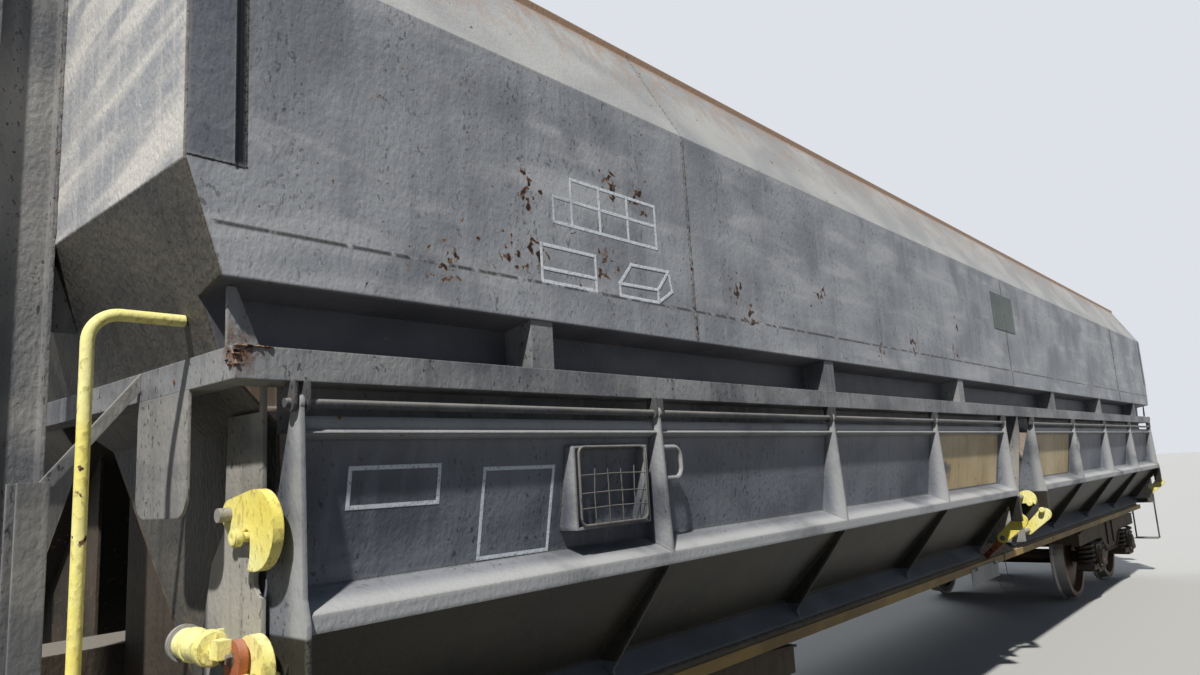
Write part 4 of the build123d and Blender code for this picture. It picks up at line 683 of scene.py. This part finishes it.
door_paint = finish("door_paint", door_coat, rust=0.1, dust=0.12, relief=0.45, worn=0.5, fold=0.020)
dress(door_paint, "door")
# Hinge bars: a darker grey that is painted shade under the sill rail
hinge_painted_shade = painted("hinge_painted_shade", (48, 49, 53), (92, 92, 94), rust=0.2, dust=0.4, relief=0.5)
dress(hinge_painted_shade, "hinge_bar")

# Door markings: two blank painted frames on the first door panels, leaning with the sheet
PANEL_FOOT = (1.335, 1.470 + TREAD)
PANEL_HEAD = (1.392, 1.836 + TREAD)
DOOR_FRAMES = [
    [(6.008, 1.688), (5.715, 1.686), (5.715, 1.790), (6.008, 1.790)],
    [(5.549, 1.508), (5.256, 1.506), (5.246, 1.772), (5.544, 1.774)],
]


def panel_at(z):
    """Distance of the panel's painted face from the middle at a height."""
    share = (z - PANEL_FOOT[1]) / (PANEL_HEAD[1] - PANEL_FOOT[1])
    return PANEL_FOOT[0] + (PANEL_HEAD[0] - PANEL_FOOT[0]) * share + FILM


maker = bmesh.new()
for corners in DOOR_FRAMES:
    paint_lines(maker, outline(corners), panel_at)
settle("door_frames_rear_right", maker, line_paint, body="door_rear_right")

# Card holder: a frame of round wire with a welded mesh before the pressed box, rusty at its lower edge. It is
# on the leading quarters, rear right as in the photo and front left, which also have the hand levers.
LEADING = {"rear_right": -1, "front_left": 1}
HOLDER_X = (4.826, 5.178)
HOLDER_Z = (1.544 + TREAD, 1.804 + TREAD)
HOLDER_FACE = 1.425
HOLDER_BEND = 0.03
WIRE = 0.0022
FRAME_WIRE = 0.0045
UPRIGHTS = 4
CROSS_WIRES = (0.055, 0.105, 0.165)
wire_steel = painted("wire_steel", (92, 90, 88), (140, 136, 128), rust=0.5, dust=0.2, relief=0.2, worn=0.2)


def rounded_loop(corners, radius):
    """Points round a closed loop of straight runs, each corner rounded to a radius."""
    corners = [Vector(c) for c in corners]
    points = []
    for k, corner in enumerate(corners):
        before, after = corners[k - 1], corners[(k + 1) % len(corners)]
        start = corner + (before - corner).normalized() * radius
        stop = corner + (after - corner).normalized() * radius
        for share in (0, 0.2, 0.4, 0.6, 0.8, 1):
            points.append(start.lerp(corner, share).lerp(corner.lerp(stop, share), share))
    return points


for quarter, turn in LEADING.items():
    maker = bmesh.new()
    face = HOLDER_FACE + FRAME_WIRE
    (x0, x1), (z0, z1) = HOLDER_X, HOLDER_Z
    corners = [(turn * x, turn * face, z) for x, z in ((x0, z0), (x1, z0), (x1, z1), (x0, z1))]
    tube(maker, rounded_loop(corners, HOLDER_BEND), FRAME_WIRE, sides=10, closed=True)
    draw = random.Random(f"mesh {quarter}")
    for k in range(1, UPRIGHTS + 1):
        x = x0 + (x1 - x0) * k / (UPRIGHTS + 1)
        lean = draw.uniform(-0.006, 0.006)
        stand = z1 - 0.075 + draw.uniform(-0.004, 0.012)
        points = [(x, face + 0.002, z0 - 0.002), (x + lean, face + 0.003, (z0 + stand) / 2),
                  (x - lean, face + 0.002, stand)]
        tube(maker, [(turn * x, turn * y, z) for x, y, z in points], WIRE, sides=6)
    for height in CROSS_WIRES:
        z = z0 + height
        points = [(x0, face, z), ((x0 + x1) / 2, face + 0.001, z + 0.003), (x1, face, z)]
        tube(maker, [(turn * x, turn * y, z) for x, y, z in points], WIRE, sides=6)
    settle(f"card_mesh_{quarter}", maker, wire_steel, body=f"door_{quarter}")

# Locks: flame-cut claws on stubs of their shafts, with cast pins on the doors, all in thick yellow signal
# paint that has chipped to primer; each pin ends in a turned boss with a chamfered rim and a shallow centre.
PRIMER = rgb(120, 84, 58)
PINS = [(1.302, 1.636, False), (1.352, 1.304, True), (1.437, 1.250, True)]  # across, up, also at the middle
PIN_TIP = 6.280
MIDDLE_TIP = 0.300
BOSS_HEIGHT = 0.005
BOSS_RADIUS = 0.0198
BOSS = [(BOSS_HEIGHT * lift, BOSS_RADIUS * share)
        for lift, share in ((0, 0.96), (0.2, 1), (0.7, 1), (1, 0.82), (1, 0.30), (0.8, 0.22))]
yellow_paint = finish("yellow_paint", yellow_coat, rust=0.25, dust=0.1, relief=0.4, rough=0.42, worn=0.5,
                      chip=PRIMER)
dress(yellow_paint, "lock_upper", "lock_main", "lock_lower", "handrails")
dress(plate_paint, "lock_shafts")
for corner, (end, side) in CORNERS.items():
    maker = bmesh.new()
    for y, z, at_middle in PINS:
        lathe(maker, (end * PIN_TIP, side * y, z), (end, 0, 0), BOSS, sides=28)
        if at_middle:
            lathe(maker, (end * MIDDLE_TIP, side * y, z), (-end, 0, 0), BOSS, sides=28)
    settle(f"pin_ends_{corner}", maker, yellow_paint, body=f"door_{corner}")

# Closing rods and levers: a spring cylinder with a pale worn end cap and two clamp bands, and the red-brown
# lever on the shaft of the main lock, held by a bolt.
ROD_X = 6.300
ROD_Z = 1.352 + TREAD
ROD_RADIUS = 0.038
ROD_BANDS = [(1.140, 0.012, 0.004), (1.226, 0.018, 0.005)]  # start, width, height over the cylinder
CAP_Y = 1.103
LEVER_FACE = 6.276
MAIN_SHAFT = (1.290, 1.358)
BOLT = {
    16: [(0, 0.72), (0.1, 0.72)],
    6: [(0.1, 0.577), (0.55, 0.577), (0.63, 0.48)],
    12: [(0.63, 0.27), (0.85, 0.27)],
}


def hex_bolt(maker, centre, axis, across):
    """Washer, hexagon head and thread end on a face at centre; BOLT has their sides and unit profiles."""
    for sides, profile in BOLT.items():
        lathe(maker, centre, axis, [(across * lift, across * radius) for lift, radius in profile], sides)


def rod_coat(tree, got, spot):
    """Yellow cylinder whose inner end is worn to pale grey metal."""
    depth = absolute(spot["Y"])
    cap = mottle(got["Clouds"], 0.4, rgb(120, 122, 124), rgb(158, 158, 154))
    return tint(mask(depth, CAP_Y + 0.002, CAP_Y - 0.002), yellow_coat(tree, got, spot), cap)


rod_paint = finish("rod_paint", rod_coat, rust=0.3, dust=0.2, relief=0.5, rough=0.42, worn=0.5, chip=PRIMER)
lever_red = painted("lever_red", (124, 62, 42), (188, 116, 80), rust=0.6, dust=0.2, relief=0.6)
bolt_steel = painted("bolt_steel", (70, 62, 56), (118, 104, 90), rust=0.9, dust=0.3, relief=0.6)
dress(rod_paint, "closing_rods")
dress(lever_red, "lock_levers")
for corner, (end, side) in CORNERS.items():
    maker = bmesh.new()
    for y, width, extra in ROD_BANDS:
        profile = [(side * width * share, ROD_RADIUS + 0.0005 + lift)
                   for share, lift in ((0, 0), (0.15, extra), (0.85, extra), (1, 0))]
        lathe(maker, (end * ROD_X, side * y, ROD_Z), (0, 1, 0), profile, sides=36)
    settle(f"rod_bands_{corner}", maker, yellow_paint)
    maker = bmesh.new()
    hex_bolt(maker, (end * LEVER_FACE, side * MAIN_SHAFT[0], MAIN_SHAFT[1]), (end, 0, 0), across=0.030)
    settle(f"lever_bolt_{corner}", maker, bolt_steel)

# Handrails: bent round bar, welded to the end beam and to the headstock through small foot plates
HANDRAIL = (6.58, 1.20, 1.26 + TREAD)
HANDRAIL_FOOT = [(0, 0.034), (0.008, 0.034), (0.012, 0.026), (0.018, 0.016)]
for end_name, end in ENDS.items():
    maker = bmesh.new()
    for side in (-1, 1):
        lathe(maker, (end * HANDRAIL[0], side * HANDRAIL[1], HANDRAIL[2]), (0, 0, 1), HANDRAIL_FOOT, sides=24)
    settle(f"handrail_feet_{end_name}", maker, yellow_paint)

# Underframe: centre sill, headstocks, bearers, pivot plates and air vessels under years of brake dust and
# grease, with four bolts round each buffer housing.
BUFFER_Y = 0.875
BUFFER_Z = 1.088
BUFFER_BASE = 6.67
BUFFER_BOLTS = (-0.115, 0.115)
under_paint = painted("under_paint", (46, 43, 40), (78, 70, 61), rust=0.3, dust=0.4, relief=0.6, rough=0.65)
headstock_paint = painted("headstock_paint", (56, 56, 58), (100, 96, 90), rust=0.25, dust=0.4, relief=0.5)
dress(under_paint, "centre_sill", "cross_bearers", "pivot_plates", "brake_", "air_reservoir", "steps")
dress(headstock_paint, "headstocks", "buffer_housings")
maker = bmesh.new()
for end in (-1, 1):
    for side in (-1, 1):
        for y in BUFFER_BOLTS:
            for z in BUFFER_BOLTS:
                spot = (end * BUFFER_BASE, side * BUFFER_Y + y, BUFFER_Z + z)
                hex_bolt(maker, spot, (end, 0, 0), across=0.036)
settle("buffer_bolts", maker, bolt_steel)

# Buffer heads and draw hooks: forged steel, black with grease, the heads rubbed bright where they meet; the
# coupling's screw hangs below each hook.
SCREW_X = 6.80
SCREW_TOP = 0.88
SCREW_LENGTH = 0.21
SCREW_STEPS = 8
SCREW_THREAD = [(-0.006, 0.0205), (0.0, 0.026), (0.006, 0.0205)]


def greasy_coat(tree, got, spot):
    """Black grease over brown steel, with a rubbed disc in the middle of each buffer face."""
    base = brushed(rgb(40, 36, 33), rgb(74, 62, 52))(tree, got, spot)
    across_y = absolute(spot["Y"])
    flat = shader(tree, "CombineXYZ", {0: across_y, 1: spot["Z"]}).outputs[0]
    from_buffer = distance(flat, (BUFFER_Y, BUFFER_Z, 0))
    disc = times(mask(from_buffer, 0.13, 0.07), mask(got["Clouds"], 0.3, 0.55))
    return tint(disc, base, rgb(128, 122, 116))


greasy_steel = finish("greasy_steel", greasy_coat, rust=0.5, dust=0.2, relief=0.3, rough=0.4, metal=0.4)
dress(greasy_steel, "buffer_heads", "draw_hooks")
maker = bmesh.new()
for end in (-1, 1):
    for step in range(SCREW_STEPS + 1):
        z = SCREW_TOP - SCREW_LENGTH * step / SCREW_STEPS
        lathe(maker, (end * SCREW_X, 0, z), (0, 0, 1), SCREW_THREAD, sides=20)
settle("coupling_screw_threads", maker, greasy_steel)

# Brake pipe: gas pipe along the centre sill to the cylinder and the reservoir, held by clips on the sill
PIPE_RADIUS = 0.017
PIPE_END = 6.545
PIPE_Y = 0.20
PIPE_Z = 1.17
SILL_FACE = 0.150
CLIPS = (-5.6, -3.4, -2.2, -0.3, 1.8, 3.4, 5.6)
CLIP_HALF = 0.015
CLIP_HALF_HEIGHT = 0.03
CLIP_REACH = 0.025
pipe_paint = painted("pipe_paint", (50, 46, 42), (84, 76, 66), rust=0.7, dust=0.5, relief=0.4)
maker = bmesh.new()
tube(maker, [(-PIPE_END, PIPE_Y, PIPE_Z), (PIPE_END, PIPE_Y, PIPE_Z)], PIPE_RADIUS, sides=12)
for x in CLIPS:
    block(maker, (x - CLIP_HALF, SILL_FACE, PIPE_Z - CLIP_HALF_HEIGHT),
          (x + CLIP_HALF, PIPE_Y + CLIP_REACH, PIPE_Z + CLIP_HALF_HEIGHT), edge=0.003)
settle("brake_pipe", maker, pipe_paint)

# Bogies: welded side frames on a bolster, axleboxes on coil springs, caked with brown brake dust and grease;
# flange plates edge the frames, bolted covers close the axleboxes and cups hold the springs.
AXLE_X = 0.90
PIVOT_X = 4.75
AXLE_Z = 0.46 + TREAD
JOURNAL_Y = 1.00
FRAME_TOP = [(-1.560, 0.770), (-0.650, 0.830), (0, 0.830), (0.650, 0.830), (1.560, 0.770)]
FRAME_FOOT = [(0.540, 0.640), (0.260, 0.470), (-0.260, 0.470), (-0.540, 0.640)]
FLANGE_HALF = 0.060
FLANGE_PLATE = 0.010
GUIDES_X = (-0.16, 0.16)
GUIDE_HALF = 0.006
GUIDE_Y = (JOURNAL_Y + 0.040, JOURNAL_Y + 0.056)
GUIDE_Z = (0.56, 0.84)
BOX_FACE = 1.09
COVER = [(0, 0.126), (0.012, 0.126), (0.016, 0.100), (0.034, 0.092),
         (0.040, 0.080), (0.040, 0.034), (0.036, 0.030)]
COVER_BOLTS = 4
COVER_BOLT_RADIUS = 0.112
COVER_RIM = 0.012
SPRING_OFFSET = 0.25
SPRING_CUP = [(0.400, 0.094), (0.406, 0.094), (0.412, 0.056), (0.436, 0.052)]
SEAT_BOLT = (SPRING_OFFSET + 0.055, JOURNAL_Y + 0.060, 0.350 + TREAD)
bogie_paint = painted("bogie_paint", (56, 49, 42), (98, 86, 72), run=0.5,
                      rust=0.35, dust=0.4, relief=0.7, rough=0.7)
spring_steel = painted("spring_steel", (44, 38, 33), (82, 70, 58), rust=0.4, dust=0.35, relief=0.5, rough=0.6)
dress(bogie_paint, "bogie", "axleboxes", "brake_blocks")
dress(spring_steel, "springs")


def flange(maker, pivot, line, middle_y):
    """Flange plate laid on a line of places (x from the pivot, height over the treads) and bent with it."""
    points = [Vector((pivot + x, middle_y, z + TREAD)) for x, z in line]
    aside = Vector((0, FLANGE_HALF, 0))
    rings = []
    for k, base in enumerate(points):
        run = (points[min(k + 1, len(points) - 1)] - points[max(k - 1, 0)]).normalized()
        out = Vector((-run.z, 0, run.x)) * FLANGE_PLATE
        section = (base - aside, base + aside, base + aside + out, base - aside + out)
        rings.append([maker.verts.new(corner) for corner in section])
    bridge(maker, rings)


for end_name, end in ENDS.items():
    pivot = end * PIVOT_X
    maker = bmesh.new()
    for side in (-1, 1):
        flange(maker, pivot, FRAME_TOP, side * JOURNAL_Y)
        flange(maker, pivot, FRAME_FOOT, side * JOURNAL_Y)
        for x in GUIDES_X:
            block(maker, (pivot + x - GUIDE_HALF, side * GUIDE_Y[0], GUIDE_Z[0]),
                  (pivot + x + GUIDE_HALF, side * GUIDE_Y[1], GUIDE_Z[1]), edge=0.002)
    settle(f"frame_flanges_{end_name}", maker, bogie_paint, body=f"bogie_{end_name}")
    maker = bmesh.new()
    for axle in (-AXLE_X, AXLE_X):
        for side in (-1, 1):
            centre = Vector((pivot + axle, side * BOX_FACE, AXLE_Z))
            out = Vector((0, side, 0))
            lathe(maker, centre, out, COVER, sides=36)
            for k in range(COVER_BOLTS):
                turn = math.radians(45 + 90 * k)
                around = Vector((math.cos(turn), 0, math.sin(turn))) * COVER_BOLT_RADIUS
                hex_bolt(maker, centre + out * COVER_RIM + around, out, across=0.022)
            for x in (-1, 1):
                cup = (pivot + axle + x * SPRING_OFFSET, side * JOURNAL_Y, TREAD)
                lathe(maker, cup, (0, 0, 1), SPRING_CUP, sides=24)
                seat = (pivot + axle + x * SEAT_BOLT[0], side * SEAT_BOLT[1], SEAT_BOLT[2])
                hex_bolt(maker, seat, (0, 0, -1), across=0.026)
    settle(f"axlebox_covers_{end_name}", maker, bogie_paint, body=f"bogie_{end_name}")

# Wheelsets: forged wheels on turned axles, brown with brake dust, the tread and flange polished by use
WHEEL_RADIUS = 0.46


def wheel_coat(tree, got, spot):
    """Brown brake dust on the disc and the axle, a dark greasy ring at the hub and a bright tread."""
    base = brushed(rgb(62, 48, 38), rgb(112, 88, 68), run=0.1)(tree, got, spot)
    from_pivot = absolute(math_of("SUBTRACT", absolute(spot["X"]), PIVOT_X))
    flat = shader(tree, "CombineXYZ", {0: from_pivot, 1: spot["Z"]}).outputs[0]
    from_axle = distance(flat, (AXLE_X, AXLE_Z, 0))
    hub = times(mask(from_axle, 0.17, 0.13), 0.6)
    colour = tint(hub, base, rgb(34, 28, 24))
    bright = mottle(got["Clouds"], 0.4, rgb(150, 146, 140), rgb(190, 188, 184))
    return tint(mask(from_axle, WHEEL_RADIUS - 0.010, WHEEL_RADIUS - 0.006), colour, bright)


wheel_steel = finish("wheel_steel", wheel_coat, rust=0.5, dust=0.3, relief=0.3, rough=0.5, metal=0.3)
dress(wheel_steel, "wheelset")

# Middle bay: a bare sheet plate hangs from the chute strip, and a loop of soft wire is hooked over it
STRIP_FACE = 1.186
HUNG_FACE = STRIP_FACE + 0.001
HUNG_SHEET = 0.004
HUNG_X = (0.800, 0.170)
HUNG_Z = (0.785, 0.905)
HUNG_BOLTS = [(0.70, 0.893), (0.27, 0.893)]
LOOP_WIRE = 0.003
LOOP_Y = STRIP_FACE + 0.004
HOOK = (1.180, 0.930)
HOOK_RADIUS = 0.010
EYE_RADIUS = 0.062
EYE_Z = 0.708
plate_grey = painted("plate_grey", (132, 134, 134), (168, 168, 165), speck=0.0,
                     rust=0.1, dust=0.1, relief=0.3, worn=0.4)
maker = bmesh.new()
front_face = SEEN * (HUNG_FACE + HUNG_SHEET)
block(maker, (SEEN * HUNG_X[0], SEEN * HUNG_FACE, HUNG_Z[0]),
      (SEEN * HUNG_X[1], front_face, HUNG_Z[1]), edge=0.001)
for x, z in HUNG_BOLTS:
    hex_bolt(maker, (SEEN * x, front_face, z), (0, SEEN, 0), across=0.020)
settle("hanging_plate_rear_right", maker, plate_grey)
maker = bmesh.new()
loop = [(-0.02, HOOK[0] + HOOK_RADIUS * math.cos(turn), HOOK[1] + HOOK_RADIUS * math.sin(turn))
        for turn in (2.6, 1.6, 0.8)]
loop += [(-0.02, LOOP_Y, 0.92), (-0.022, LOOP_Y, 0.84), (-0.018, LOOP_Y + 0.004, 0.770)]
loop += [(-0.018 + 0.002 * k, LOOP_Y + EYE_RADIUS * math.sin(k * 0.7), EYE_Z + EYE_RADIUS * math.cos(k * 0.7))
         for k in range(1, 9)]
tube(maker, [(SEEN * x, SEEN * y, z) for x, y, z in loop], LOOP_WIRE, sides=8)
settle("wire_loop_rear_right", maker, wire_steel)

# Hand levers: a forged red-brown arm on the shaft of the lower lock, tapered to its foot, with hub and pin
LOWER_SHAFT = (1.305, 1.088)
LEVER_X = (0.272, 0.292)
LEVER_HUB = [(0, 0.030), (0.002, 0.032), (0.018, 0.032), (0.020, 0.030)]
LEVER_ARM = [(1.290, 1.075, 0.026), (1.180, 0.975, 0.020), (1.075, 0.880, 0.022), (1.040, 0.848, 0.012)]
ARM_ACROSS = (0.67, -0.74)
LEVER_PIN = (1.062, 0.868)
LEVER_PIN_X = (LEVER_X[0] - 0.035, LEVER_X[1] + 0.012)
for quarter, turn in LEADING.items():
    maker = bmesh.new()
    hub = (turn * LEVER_X[0], turn * LOWER_SHAFT[0], LOWER_SHAFT[1])
    lathe(maker, hub, (turn, 0, 0), LEVER_HUB, sides=24)
    inner, outer = LEVER_X[0] + 0.003, LEVER_X[1] - 0.003
    rings = []
    for y, z, half in LEVER_ARM:
        across_arm = Vector((0, turn * ARM_ACROSS[0], ARM_ACROSS[1])) * half
        rings.append([maker.verts.new(Vector((turn * x, turn * y, z)) + way * across_arm)
                      for x, way in ((inner, -1), (outer, -1), (outer, 1), (inner, 1))])
    bridge(maker, rings)
    tube(maker, [(turn * x, turn * LEVER_PIN[0], LEVER_PIN[1]) for x in LEVER_PIN_X], 0.016, sides=16)
    settle(f"hand_lever_{quarter}", maker, lever_red)

# Floor, light and surroundings: a plain pale floor and backdrop that throw back less light than they show, a
# soft cool light from all round, a warm sun from behind the camera and a weak fill from the far side.
FLOOR_HALF = 150
FLOOR_SEEN = rgb(170, 170, 168)
FLOOR_BOUNCE = rgb(78, 76, 72)
AMBIENT = rgb(178, 204, 242)
AMBIENT_STRENGTH = 0.18
BACKDROP = rgb(222, 226, 232)
LAMPS = {  # energy, angle in degrees, colour, where the light comes from
    "sun": (4.9, 2, (1.0, 0.97, 0.92), (-0.75, -0.42, 1.15)),
    "fill": (1.3, 30, (0.92, 0.96, 1.0), (0.45, 0.75, 0.60)),
}


def plainly_seen(tree):
    """1 where the camera sees a surface, also in a reflection, and 0 where it only throws back light."""
    seen = shader(tree, "LightPath").outputs
    direct = larger(seen["Is Camera Ray"], seen["Is Glossy Ray"])
    return larger(direct, seen["Is Transmission Ray"])


floor_mesh = bpy.data.meshes.new("floor")
floor_corners = [(x * FLOOR_HALF, y * FLOOR_HALF, 0) for x, y in ((-1, -1), (1, -1), (1, 1), (-1, 1))]
floor_mesh.from_pydata(floor_corners, [], [(0, 1, 2, 3)])
floor = bpy.data.objects.new("floor", floor_mesh)
bpy.context.scene.collection.objects.link(floor)
pale = bpy.data.materials.new("pale_floor")
pale.use_nodes = True
tree = pale.node_tree
tree.nodes.clear()
floor_colour = tint(plainly_seen(tree), FLOOR_BOUNCE, FLOOR_SEEN)
floor_skin = shader(tree, "BsdfPrincipled", {"Base Color": floor_colour, "Roughness": 0.9})
shader(tree, "OutputMaterial", {0: floor_skin.outputs[0]})
floor_mesh.materials.append(pale)

world = bpy.data.worlds.new("studio")
world.use_nodes = True
tree = world.node_tree
tree.nodes.clear()
seen = plainly_seen(tree)
ambient = shader(tree, "Background", {"Color": AMBIENT, "Strength": AMBIENT_STRENGTH})
backdrop = shader(tree, "Background", {"Color": BACKDROP, "Strength": 1.0})
surroundings = shader(tree, "MixShader", {0: seen, 1: ambient.outputs[0], 2: backdrop.outputs[0]})
shader(tree, "OutputWorld", {0: surroundings.outputs[0]})
bpy.context.scene.world = world

for name, (energy, angle, colour, comes_from) in LAMPS.items():
    lamp_data = bpy.data.lights.new(name, "SUN")
    lamp_data.energy, lamp_data.angle, lamp_data.color = energy, math.radians(angle), colour
    lamp_object = bpy.data.objects.new(name, lamp_data)
    lamp_object.matrix_world = Vector(comes_from).to_track_quat("Z", "Y").to_matrix().to_4x4()
    bpy.context.scene.collection.objects.link(lamp_object)
